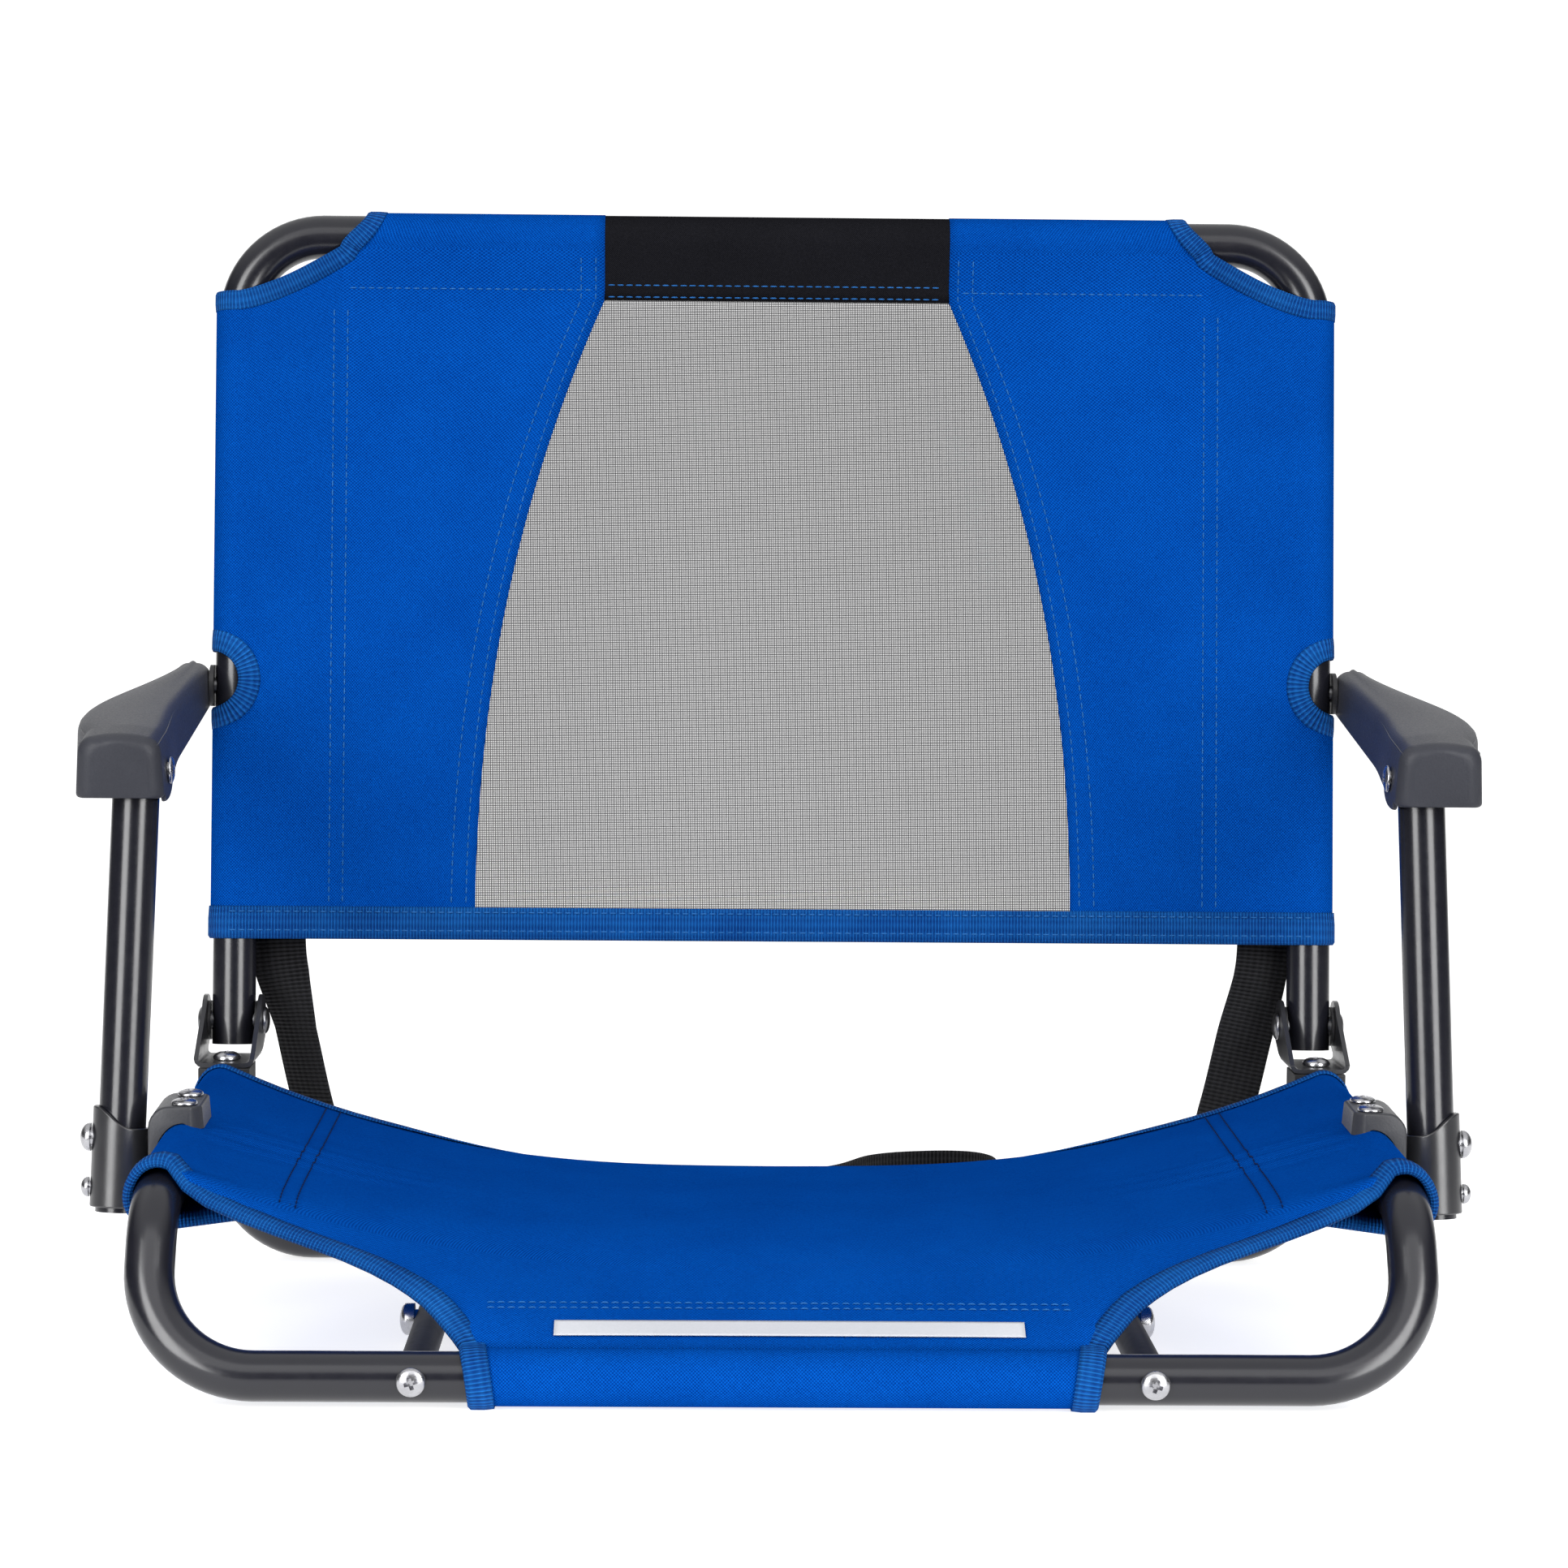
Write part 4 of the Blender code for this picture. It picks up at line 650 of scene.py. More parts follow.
for side, s in sides:
    foot, head, lean = postLine(s)
    front = (backFront - lean * backFront.dot(lean)).normalized()
    across = xAxis * s
    across = (across - lean * across.dot(lean)).normalized()
    bm = bmesh.new()
    ends = [foot - lean * (shoeDrop + armPost["poke"]), head + lean * armPost["head"]]
    tubeSweep(bm, ends, tubeR, tubeBends["wall"], front)
    place("armPost." + side, bm, frameCoat, "post_" + side, ("arm_post_" + side,))
    rows = []
    for k in range(13):
        row = []
        for a, b in shoeBend:
            lip = mix(armPost["shoeLip"], armPost["shoeEar"], ease((a / shoeR + 0.45) / 1.4))
            rounding = armPost["shoeRound"] * ease((-b - flange * 0.4) / (flange * 0.6)) ** 2
            up = mix(-shoeDrop + rounding, lip - rounding, k / 12)
            row.append(foot + across * a + front * b + lean * up)
        rows.append(row)
    bm = bmesh.new()
    clothGrid(bm, rows)
    shoe = place("postShoe." + side, bm, bracketCoat, "post_" + side, ("post_shoe_" + side,))
    thicken(shoe, armPost["shoeWall"])
    softEdges(shoe, armPost["shoeSoft"], 50)
print("tubes, posts and shoes made")


# rigid pieces that keep their CAD shape get softened edges
def softened(node, name, mat, body, width, angle):
    source = nodes[node]
    bm = bmesh.new()
    bm.from_mesh(source.data)
    bmesh.ops.transform(bm, matrix=source.matrix_world, verts=bm.verts)
    bmesh.ops.remove_doubles(bm, verts=bm.verts, dist=0.000002)
    bmesh.ops.dissolve_limit(bm, angle_limit=radians(3), verts=bm.verts, edges=bm.edges)
    softEdges(place(name, bm, mat, body, (node,), sharp=angle + 10), width, angle)


edgeSoft = {"bracket": 0.0005, "packer": 0.0006, "hook": 0.0008}
for side, s in sides:
    softened("hinge_bracket_" + side, "hingeBracket." + side, bracketCoat, "seat", edgeSoft["bracket"], 40)
    softened("bracket_packer_" + side, "bracketPacker." + side, blackPlastic, "seat",
             edgeSoft["packer"], 40)
softened("bench_hook", "benchHook", frameCoat, "hook", edgeSoft["hook"], 50)

# arm clips: moulded saddles on the sleeved rails
armClip = {"length": 0.035, "leg": 0.0026, "pad": 0.0095, "reach": 0.008, "drop": 0.010, "round": 0.0085,
           "from": radians(-40), "leave": radians(22), "edge": 0.0010, "screwGap": 0.021, "endCut": 0.45,
           "cutLength": 0.0045}
saddleR = clothOut + fit
padTop, clipFace = saddleR + armClip["pad"], saddleR + armClip["leg"]


def roundOff(chain, radii, after, steps=6):
    points = [chain[0]]
    for before, corner, ahead, r in zip(chain, chain[1:], chain[2:] + [after], radii[1:]):
        points += cornerArc(before, corner, ahead, r, steps)
    return points


reach, leave, clipLength, cutLength = (armClip[k] for k in ("reach", "leave", "length", "cutLength"))
clipTurns = [mix(armClip["from"], pi / 2 + leave, k / 30) for k in range(31)]
clipInside = [Vector((saddleR * cos(a), saddleR * sin(a) + sleeveBulge(a), 0)) for a in clipTurns]
clipUnder = saddleR * cos(leave) + (saddleR * sin(leave) - reach) * tan(leave) + sleeveBulge(clipTurns[-1])
clipCorners = [Vector((-reach, clipUnder, 0)), Vector((-reach + 0.0008, padTop, 0)),
               Vector((clipFace, padTop, 0)), Vector((clipFace, -armClip["drop"], 0))]
clipOutline = clipInside + roundOff(clipCorners, [0, 0.0012, armClip["round"], 0.0015], clipInside[0])
clipCentre = Vector((0.004, padTop * 0.6, 0))
e = armClip["edge"]
clipStations = [(0, e), (e * 0.3, e * 0.3), (e, 0), (cutLength, 0), (cutLength + 0.0004, 0),
                (clipLength - cutLength, 0), (clipLength - e, 0), (clipLength - e * 0.3, e * 0.3),
                (clipLength, e)]
for side, s in sides:
    middle = at(s * halfWidth, pivotBack, railZ(pivotBack))
    bm = bmesh.new()
    grid = []
    for along, shrink in clipStations:
        ring = []
        slant = mix(armClip["endCut"], 1, min(1, min(along, clipLength - along) / cutLength))
        for k, p in enumerate(clipOutline):
            q = p.copy() if k < len(clipInside) else p + (clipCentre - p).normalized() * shrink
            if q.x < 0:
                q.x *= slant
            ring.append(middle + xAxis * s * q.x + railUp * q.y + railAlong * (along - clipLength / 2))
        grid.append([bm.verts.new(p) for p in ring])
    for a, b in zip(grid, grid[1:]):
        loopJoin(bm, a, b)
    bm.faces.new(grid[0])
    bm.faces.new(grid[-1])
    place("armClip." + side, bm, clipPlastic, "seat", ("arm_clip_" + side,), sharp=45)
print("clips and brackets made")


# fasteners: one cross-recessed pan head and one dome head, set wherever they are needed
crossRecess = {"long": 0.27, "wide": 0.075, "deep": 0.75, "over": 1.2, "taperLong": 0.45, "taperWide": 0.8}


def panHead(name, headD, headH, shankD, shankLen):
    r = headD / 2
    dome = domeArc(-headH, headH * 0.78, r, 8)
    dome += [(-headH * 0.06, r), (0, r * 0.97), (0, shankD / 2), (shankLen, shankD / 2), (shankLen, 0)]
    bm = bmesh.new()
    turnedPiece(bm, dome, Vector((0, 0, 0)), zAxis, count=40)
    head = meshObject(name, bm)
    long, wide = headD * crossRecess["long"], headD * crossRecess["wide"]
    top, low = -headH * crossRecess["over"], headH * (crossRecess["deep"] - 1)
    taperLong, taperWide = crossRecess["taperLong"], crossRecess["taperWide"]
    recesses = []
    for turnBy in (0, pi / 2):
        spin = Matrix.Rotation(turnBy, 3, "Z")
        corners = ((long, wide), (-long, wide), (-long, -wide), (long, -wide))
        bm = bmesh.new()
        a = [bm.verts.new(spin @ Vector((x, y, top))) for x, y in corners]
        b = [bm.verts.new(spin @ Vector((x * taperLong, y * taperWide, low))) for x, y in corners]
        loopJoin(bm, a, b)
        bm.faces.new(a)
        bm.faces.new(b)
        recesses.append(meshObject("recess", bm))
        cut = head.modifiers.new("recess", "BOOLEAN")
        cut.object = recesses[-1]
    made = bpy.data.meshes.new_from_object(head.evaluated_get(bpy.context.evaluated_depsgraph_get()))
    for helper in recesses + [head]:
        bpy.data.objects.remove(helper)
    made.shade_smooth()
    made.set_sharp_from_angle(angle=radians(32))
    return made


def setFastener(name, made, mat, seat, into, body, node, spin=0.0):
    mesh = made.copy()
    turnTo = zAxis.rotation_difference(into.normalized()).to_matrix().to_4x4()
    mesh.transform(Matrix.Translation(seat) @ turnTo @ Matrix.Rotation(spin, 4, "Z"))
    mesh.materials.clear()
    mesh.materials.append(mat)
    obj = bpy.data.objects.new(name, mesh)
    scene.collection.objects.link(obj)
    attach(obj, body)
    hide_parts(node)


screwSizes = {"screwD": 0.011, "screwH": 0.0032, "shank": 0.005, "railLen": 0.010, "clipD": 0.01045,
              "clipH": 0.00224, "clipLen": 0.006, "boltD": 0.012, "boltH": 0.0035, "boltShank": 0.006,
              "boltLen": 0.008}
shank = screwSizes["shank"]
railScrew = panHead("railScrew", screwSizes["screwD"], screwSizes["screwH"], shank, screwSizes["railLen"])
clipScrew = panHead("clipScrew", screwSizes["clipD"], screwSizes["clipH"], shank, screwSizes["clipLen"])
bracketBolt = panHead("bracketBolt", screwSizes["boltD"], screwSizes["boltH"], screwSizes["boltShank"],
                      screwSizes["boltLen"])
for side, s in sides:
    for end, back, z, into, spin in (("front", -tubeR - fit, frontZ, yAxis, 0.3),
                                     ("rear", hingeBack + tubeR + fit, rearZ, -yAxis, 0.9)):
        setFastener("stretcherScrew." + end + "." + side, railScrew, zincPlate,
                    at(s * frameSizes["stretcherX"], back, z), into, "seat",
                    "stretcher_screw_" + end + "_" + side, spin * s)
    for end, step in (("front", -0.5), ("rear", 0.5)):
        seat = at(s * halfWidth, pivotBack, railZ(pivotBack)) + railAlong * armClip["screwGap"] * step
        setFastener("clipScrew." + end + "." + side, clipScrew, zincPlate, seat + railUp * (padTop + fit),
                    -railUp, "seat", "clip_screw_" + end + "_" + side, 0.5 + step + s)
    low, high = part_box("bracket_bolt_" + side)
    seat = Vector((s * halfWidth, (low[1] + high[1]) / 2, high[2] - screwSizes["boltH"]))
    setFastener("bracketBolt." + side, bracketBolt, zincPlate, seat, -zAxis, "seat",
                "bracket_bolt_" + side, 0.4 * s)


# dome heads at both ends of a shank, or a flush tail
def domeRivet(name, mat, body, node, outside, inside, shankD, headD, headH, tailD):
    axis = inside - outside
    length = axis.length
    profile = domeArc(-headH, headH * 0.85, headD / 2, 7)
    profile += [(0, headD / 2), (0, shankD / 2), (length, shankD / 2)]
    if tailD > shankD:
        profile.append((length, tailD / 2))
        profile += domeArc(length + headH, -headH * 0.85, tailD / 2, 7)[::-1]
    else:
        profile.append((length, 0))
    turned(name, mat, body, node, profile, outside, axis)


armIn = halfWidth + clothOut + 0.0010
armRest = {"wallW": 0.0018, "skin": 0.003, "rearW": 0.0154, "frontW": 0.0326, "swell": 0.0115,
           "rearHalf": 0.0100, "crown": 0.0175, "belly": 0.0076, "ear": 0.0120, "nose": 0.022,
           "edge": 0.0065, "flare": 0.0030, "draft": 0.0014, "noseR": 0.0065, "lowRound": 0.0015,
           "flareFrom": 0.64, "hollowFrom": 0.026, "spot": 0.0005, "camber": 0.0012}
bracketSizes = {"width": 0.0262, "wall": 0.002}
rivetSizes = {"d": 0.008, "headD": 0.012, "headH": 0.0025, "armD": 0.007, "pinD": 0.005, "pinHeadD": 0.008,
              "pivotHeadD": 0.0114, "pivotHeadH": 0.00425, "pinHeadH": 0.00325, "armTailD": 0.0096}
for side, s in sides:
    x = xAxis * s
    face = bracketSizes["width"] / 2 + fit
    shoeOut = tubeR + fit + armPost["shoeWall"]
    domeRivet("hingeRivet." + side, darkSteel, "seat", "hinge_rivet_" + side,
              hinge + x * (halfWidth + face), hinge + x * (halfWidth - face), rivetSizes["d"],
              rivetSizes["headD"], rivetSizes["headH"], rivetSizes["headD"])
    postOut = armPost["footX"] + shoeOut + 2 * fit
    stop = halfWidth + saddleR + armClip["leg"] * 0.15 + fit
    domeRivet("postPivot." + side, zincPlate, "seat", "post_pivot_rivet_" + side, pivot + x * postOut,
              pivot + x * stop, rivetSizes["d"], rivetSizes["pivotHeadD"], rivetSizes["pivotHeadH"],
              rivetSizes["d"])
    foot, head, lean = postLine(s)
    pin = foot - lean * armPost["pinDrop"]
    domeRivet("shoePin." + side, zincPlate, "post_" + side, "shoe_rivet_" + side,
              pin + x * (shoeOut + 2 * fit), pin - x * (shoeOut - fit), rivetSizes["pinD"],
              rivetSizes["pinHeadD"], rivetSizes["pinHeadH"], rivetSizes["pinD"])
    rear = armRear + x * (armIn + armRest["rearW"] - armRest["spot"] + fit)
    domeRivet("armRearRivet." + side, darkSteel, "arm_" + side, "arm_rear_rivet_" + side, rear,
              armRear + x * (halfWidth - tubeR - fit), rivetSizes["armD"], rivetSizes["headD"],
              rivetSizes["headH"], rivetSizes["armTailD"])
print("fasteners made")

# bushes, stretcher saddles, hook rod and its caps
turnedSizes = {"hingeBore": 0.0043, "armBore": 0.0038, "saddleIn": 0.0055, "saddleOut": 0.0128,
               "saddleBore": 0.0028, "saddleEdge": 0.0004, "rodR": 0.004, "rodEdge": 0.0003,
               "capSkin": 0.003}


# a bush that fills the CAD bush's round, between two faces
def bush(name, body, node, near, far, bore, origin, axis):
    low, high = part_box(node)
    r = (high[2] - low[2]) / 2 * 1.02
    profile = [(near, bore), (near, r), (far, r), (far, bore)]
    turned(name, blackPlastic, body, node, profile, origin, axis, True)


rodLine, rodR = Vector((0, *rodPoint.yz)), turnedSizes["rodR"]
for side, s in sides:
    for spot, out in (("inner", -s), ("outer", s)):
        bush("hingeBush." + spot + "." + side, "back", "hinge_bush_" + spot + "_" + side, tubeR + fit,
             bracketSizes["width"] / 2 - bracketSizes["wall"] - fit, turnedSizes["hingeBore"],
             hinge + xAxis * s * halfWidth, xAxis * out)
    bush("armBush." + side, "arm_" + side, "arm_bush_" + side, halfWidth + tubeR + fit, armIn - fit,
         turnedSizes["armBore"], Vector((0, *armRear.yz)), xAxis * s)
    for end, back, z, into in (("front", 0.0, frontZ, yAxis), ("rear", hingeBack, rearZ, -yAxis)):
        seatIn, seatOut, r = turnedSizes["saddleIn"], turnedSizes["saddleOut"], tubeBends["stretcherR"]
        bore, edge = turnedSizes["saddleBore"], turnedSizes["saddleEdge"]
        profile = [(seatIn, bore), (seatIn, r), (seatOut - edge, r), (seatOut, r - edge), (seatOut, bore)]
        turned("stretcherSaddle." + end + "." + side, blackPlastic, "seat",
               "stretcher_saddle_" + end + "_" + side, profile, at(s * frameSizes["stretcherX"], back, z),
               into, True)
    low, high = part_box("hook_rod_cap_" + side)
    capR = (high[2] - low[2]) / 2
    inner, outer = (low[0], high[0]) if s > 0 else (-high[0], -low[0])
    floorAt = outer - turnedSizes["capSkin"]
    profile = domeArc(outer, (inner - outer) * 0.5, capR, 6)
    profile += [(inner, capR), (inner, rodR + fit), (floorAt, rodR + fit), (floorAt, 0)]
    turned("rodCap." + side, zincPlate, "seat", "hook_rod_cap_" + side, profile, rodLine, xAxis * s)
low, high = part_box("hook_rod")
start, end, edge = low[0], high[0], turnedSizes["rodEdge"]
profile = [(start, 0), (start, rodR - edge), (start + edge, rodR),
           (end - edge, rodR), (end, rodR - edge), (end, 0)]
turned("hookRod", zincPlate, "seat", "hook_rod", profile, rodLine, xAxis)
print("bushes, saddles and rod made")

# armrests: hollow mouldings with a cambered top and rounded ends
armSpan = armFront - armRear
armLen = armSpan.length
armAhead = armSpan.normalized()
armUp = xAxis.cross(armAhead)
armUp = armUp if armUp.z > 0 else -armUp
armEnd = armLen + armRest["nose"]
earReach = armRest["ear"] * 1.15


def armWidth(share):
    share = min(1, max(0, share))
    return mix(armRest["rearW"], armRest["frontW"], share) + armRest["swell"] * sin(pi * share**1.8)


def armInner(share):
    return -armRest["flare"] * ease((share - armRest["flareFrom"]) / (1 - armRest["flareFrom"]))


def armSection(s, along, hollow):
    share = min(1, max(0, along / armLen))
    top = mix(armRest["rearHalf"], armRest["crown"], share)
    belly = -mix(armRest["rearHalf"], armRest["belly"], share)
    dip = max(0.0, 1 - ((along - armLen) / earReach) ** 2)
    earBelly = belly - (armRest["ear"] - armRest["belly"]) * sqrt(dip)
    inner, outer = armInner(share), armWidth(share)
    if along < 0:
        keep = sqrt(max(0.0, 1 - (along / armRest["rearHalf"]) ** 2))
        top, belly = armRest["rearHalf"] * keep, -armRest["rearHalf"] * keep
        earBelly = belly
    noseR = armRest["noseR"]
    over = along - (armEnd - noseR)
    if over > 0:
        tuck = noseR - sqrt(max(0.0, noseR**2 - over**2))
        inner, outer = inner + tuck, outer - tuck
        top -= tuck * 0.5
        belly += tuck * 0.2
        earBelly = max(earBelly, belly) if dip == 0 else earBelly
    r = max(0.0003, min(armRest["edge"], (top - belly) * 0.45, (outer - inner) * 0.4))
    low = min(armRest["lowRound"], (outer - inner) * 0.12)
    lowArc = [(low * (1 - cos(pi / 2 * k / 3)), low * (1 - sin(pi / 2 * k / 3))) for k in range(4)]
    topArc = [(r - r * cos(pi / 2 * k / 7), r * sin(pi / 2 * k / 7) - r) for k in range(8)]
    # inner wall and ear, cambered top, outer wall
    points = [(inner + b, earBelly + a) for a, b in lowArc[:3]]
    points += [(inner, mix(earBelly + low, top - r, k / 4)) for k in range(4)]
    points += [(inner + a, top + b) for a, b in topArc]
    camber = armRest["camber"] * min(1, (outer - inner) / 0.02)
    for k in range(1, 8):
        t = k / 8
        points.append((mix(inner + r, outer - r, t), top + camber * 4 * t * (1 - t)))
    points += [(outer - a, top + b) for a, b in topArc[::-1]]
    points += [(outer, mix(top - r, belly + low, k / 4)) for k in range(1, 5)]
    points += [(outer - a, belly + b) for a, b in lowArc[1:]]
    # the outer skin leans in towards the top
    draft = armRest["draft"] * share
    leaning = []
    for p, q in points:
        upShare = min(1, max(0, (q - belly) / (top - belly)))
        leaning.append((p + mix(draft, -draft, (p - inner) / (outer - inner)) * upShare, q))
    points = leaning
    wall = min(armRest["wallW"], (outer - inner) * 0.3)
    lift = max(0.0, (top - armRest["skin"] - belly) * hollow)
    a, b = outer - wall, inner + wall
    points += [(a, belly), (a, belly + lift * 0.5), (a, belly + lift)]
    points += [(mix(a, b, 0.5), belly + lift), (b, belly + lift), (b, belly + lift * 0.5), (b, earBelly)]
    centre = armRear + armAhead * along
    return [centre + xAxis * s * (armIn + p) + armUp * q for p, q in points]


for side, s in sides:
    stations = [(-armRest["rearHalf"] * sin(pi / 2 * k / 8), 0) for k in range(8, 0, -1)]
    stations[0] = (-armRest["rearHalf"] * 0.999, 0)
    stations += [(armRest["hollowFrom"] * k / 5, 0) for k in range(5)]
    stations += [(armRest["hollowFrom"] - 0.0002, 0), (armRest["hollowFrom"], 1)]
    hollowEnd = armEnd - armRest["skin"] - 0.001
    earStart, noseFrom = armLen - earReach, armLen + earReach
    stations += [(mix(armRest["hollowFrom"], earStart, k / 26), 1) for k in range(1, 27)]
    stations += [(mix(earStart, noseFrom, (1 - cos(pi * k / 16)) / 2), 1) for k in range(1, 17)]
    stations += [(mix(noseFrom, hollowEnd, k / 8), 1) for k in range(1, 9)]
    stations += [(hollowEnd + 0.0002, 0)]
    stations += [(mix(hollowEnd + 0.0002, armEnd, sin(pi / 2 * k / 8)), 0) for k in range(1, 9)]
    bm = bmesh.new()
    grid = [[bm.verts.new(p) for p in armSection(s, along, hollow)] for along, hollow in stations]
    for a, b in zip(grid, grid[1:]):
        loopJoin(bm, a, b)
    bm.faces.new(grid[0])
    bm.faces.new(grid[-1])
    bmesh.ops.remove_doubles(bm, verts=bm.verts, dist=0.000002)
    place("armrest." + side, bm, armPlastic, "arm_" + side, ("armrest_" + side,), sharp=48)
    headD, headH = rivetSizes["headD"] * 0.9, rivetSizes["headH"]
    inHead = panHead("armFrontScrew", headD, headH * 0.8, rivetSizes["armD"],
                     armWidth(1) + armRest["flare"] - armRest["spot"])
    setFastener("armFrontScrew." + side, inHead, zincPlate,
                armFront + xAxis * s * (armIn - armRest["flare"] - fit), xAxis * s, "arm_" + side,
                "arm_front_rivet_" + side, 0.4 * s)
    nutH, nutSeat = headH * 0.7, armIn + armWidth(1) - armRest["spot"] + fit
    profile = domeArc(nutH, -nutH, headD / 2, 6) + [(-0.0004, headD / 2), (-0.0004, 0)]
    turned("armFrontNut." + side, zincPlate, "arm_" + side, None, profile, armFront + xAxis * s * nutSeat,
           xAxis * s)
print("armrests made")

# seat sling: sleeves on the rails, a hanging seat and an apron down to the front rail
seatSling = {"rear": 0.262, "sag": 0.0374, "lift": 0.0312, "power": 2.7, "frontPower": 2.3, "easing": 5,
             "flap": 0.050, "leave": radians(22), "wrapEnd": radians(293), "apronHalf": 0.120,
             "apronTouch": radians(70), "apronLeave": radians(350), "flapUp": 0.0175, "flapBack": 0.030,
             "thick": 0.0009, "tape": 0.009, "tapeLift": 0.0017, "tapeThick": 0.0004, "ripple": 0.0006,
             "smooth": 45, "clipShare": 0.55, "pull": 0.0009, "cuff": 0.0012, "rearRoll": 0.0065,
             "wrapIn": 0.97, "frontBack": 0.068, "kneeShare": 0.875, "flapGap": 0.0022,
             "sideSeams": (0.0455, 0.0515), "levelTilt": 0.195,
             "seamLevels": (0.0387, 0.0367), "seamHalf": 0.112}
leftRail = bentPath(frontCorners[:3], [tubeBends["kneeR"]], 24)
railWays = headings(leftRail)
straight = leftRail[1].y - frontY


# where a row of the seat meets the left rail: along its straight, then round the knee
def slingStation(share):
    kneeShare = seatSling["kneeShare"]
    if share < kneeShare:
        back = mix(seatSling["rear"], straight, share / kneeShare)
        return at(-halfWidth, back, railZ(back)), -railAlong
    spot = 1 + (share - kneeShare) / (1 - kneeShare) * 4
    k = min(4, int(spot))
    t = spot - k
    return mix(leftRail[k], leftRail[k + 1], t), mix(railWays[k], railWays[k + 1], t).normalized()


def slingEdge(share):
    centre, way = slingStation(share)
    up = xAxis.cross(way).normalized()
    up = up if up.z > 0 else -up
    lowZ = railZ(seatSling["rear"]) + wrapR - seatSling["sag"]
    midZ = mix(lowZ, frontZ + seatSling["lift"], share ** seatSling["easing"])
    midY = mix(seatSling["rear"], seatSling["frontBack"], share) + frontY
    return centre, up, midY, midZ


# the sleeve opens out a little at its front end
def sleeveCuff(share):
    return seatSling["cuff"] * ease((share - 0.86) / 0.14)


# a point of the seat at a share of the way to the front and t of the way out to the left edge
def slingPoint(share, t):
    centre, up, midY, midZ = slingEdge(share)
    a = pi / 2 - seatSling["leave"]
    cuff = sleeveCuff(share)
    edge = centre + xAxis * (wrapR + cuff) * cos(a) + up * ((wrapR + cuff) * sin(a) + sleeveBulge(a))
    side = abs(t)
    x = edge.x * t
    power = mix(seatSling["power"], seatSling["frontPower"], ease((share - 0.3) / 0.7))
    z = mix(midZ, edge.z, side**power)
    z -= seatSling["rearRoll"] * ease((0.72 - side) / 0.4) * max(0, 1 - share / 0.06) ** 2
    calm = ease((1 - side) / 0.25) * ease(share / 0.1)
    z += seatSling["ripple"] * calm * noise.noise(Vector((x * 14, share * 4, 1.7)))
    # cloth pulled into fine creases beside each clip
    near = ease(1 - abs(share - seatSling["clipShare"]) / 0.22)
    near *= ease((side - 0.5) / 0.25) * ease((1 - side) / 0.08)
    z += seatSling["pull"] * near * sin((share + 0.12 * side) * 82 + 0.7 * sin(x * 60))
    return Vector((x, mix(midY, edge.y, side**2), z))


def slingRow(share):
    centre, up, midY, midZ = slingEdge(share)
    wrap = [mix(pi / 2 - seatSling["leave"], seatSling["wrapEnd"], k / 18) for k in range(19)]
    r = wrapR + sleeveCuff(share)
    ring = [centre + xAxis * r * cos(t) + up * (r * sin(t) + sleeveBulge(t)) for t in wrap]
    flapX = -halfWidth + seatSling["flap"]
    joinAt = slingPoint(share, flapX / ring[0].x)
    flapEnd = Vector((flapX, joinAt.y, joinAt.z)) - up * seatSling["flapGap"]
    flap = [mix(flapEnd, ring[-1], k / 6) for k in range(6)]
    seat = [slingPoint(share, 1 - k / 22) for k in range(1, 23)]
    halfRow = flap + ring[::-1] + seat
    return halfRow + [flipX(p) for p in halfRow[:-1]][::-1]


kneeShare = seatSling["kneeShare"]
shares = [kneeShare * k / 52 for k in range(52)] + [mix(kneeShare, 1, k / 9) for k in range(10)]
slingRows = [slingRow(share) for share in shares]
rim = 24  # points of the flap and sleeve on each side of a row
lastRow = slingRows[-1][rim:-rim]
railFront = at(0, 0, frontZ)
touch = railFront + Vector((0, cos(seatSling["apronTouch"]), sin(seatSling["apronTouch"]))) * wrapR


# how far the apron's side has come in at each step down
apronSide = (0, 0.055, 0.132, 0.244, 0.366, 0.49, 0.60, 0.69, 0.762, 0.822, 0.873, 0.91, 0.942, 0.973, 1)
apronSteps = len(apronSide) - 1


def apronPoint(p, t):
    inward = apronSide[round(t * apronSteps)]
    x = mix(p.x, seatSling["apronHalf"] * p.x / abs(lastRow[0].x), inward)
    return Vector((x, mix(p.y, touch.y, t), mix(p.z, touch.z, t**0.79)))


# the seat rolls over into the apron: the middle columns are relaxed, the bound sides stay
relaxed = [row[rim:-rim] for row in slingRows]
relaxed += [[apronPoint(p, k / apronSteps) for p in lastRow] for k in range(1, apronSteps + 1)]
halfCount = len(lastRow) // 2
for _ in range(seatSling["smooth"]):
    softer = [list(row) for row in relaxed]
    for i in range(len(slingRows) - 22, len(relaxed) - 1):
        for j, p in enumerate(relaxed[i]):
            hold = 0.5 * ease((1 - abs(j - halfCount) / halfCount) / 0.35)
            softer[i][j] = p.lerp((relaxed[i - 1][j] + relaxed[i + 1][j]) / 2, hold)
    relaxed = softer
for row, calm in zip(slingRows, relaxed):
    row[rim:-rim] = calm
apronRows = relaxed[len(slingRows) - 1:]


def onSling(row, x):
    i = min(len(relaxed) - 2, int(row))
    line = [mix(a, b, row - i) for a, b in zip(relaxed[i], relaxed[i + 1])]
    k = max(0, min(len(line) - 2, sum(p.x < x for p in line) - 1))
    return mix(line[k], line[k + 1], (x - line[k].x) / (line[k + 1].x - line[k].x))


def slingNormal(row, x):
    down = onSling(min(len(relaxed) - 1, row + 0.6), x) - onSling(max(0, row - 0.6), x)
    n = down.cross(onSling(row, x + 0.004) - onSling(row, x - 0.004)).normalized()
    return n if n.z > 0 else -n


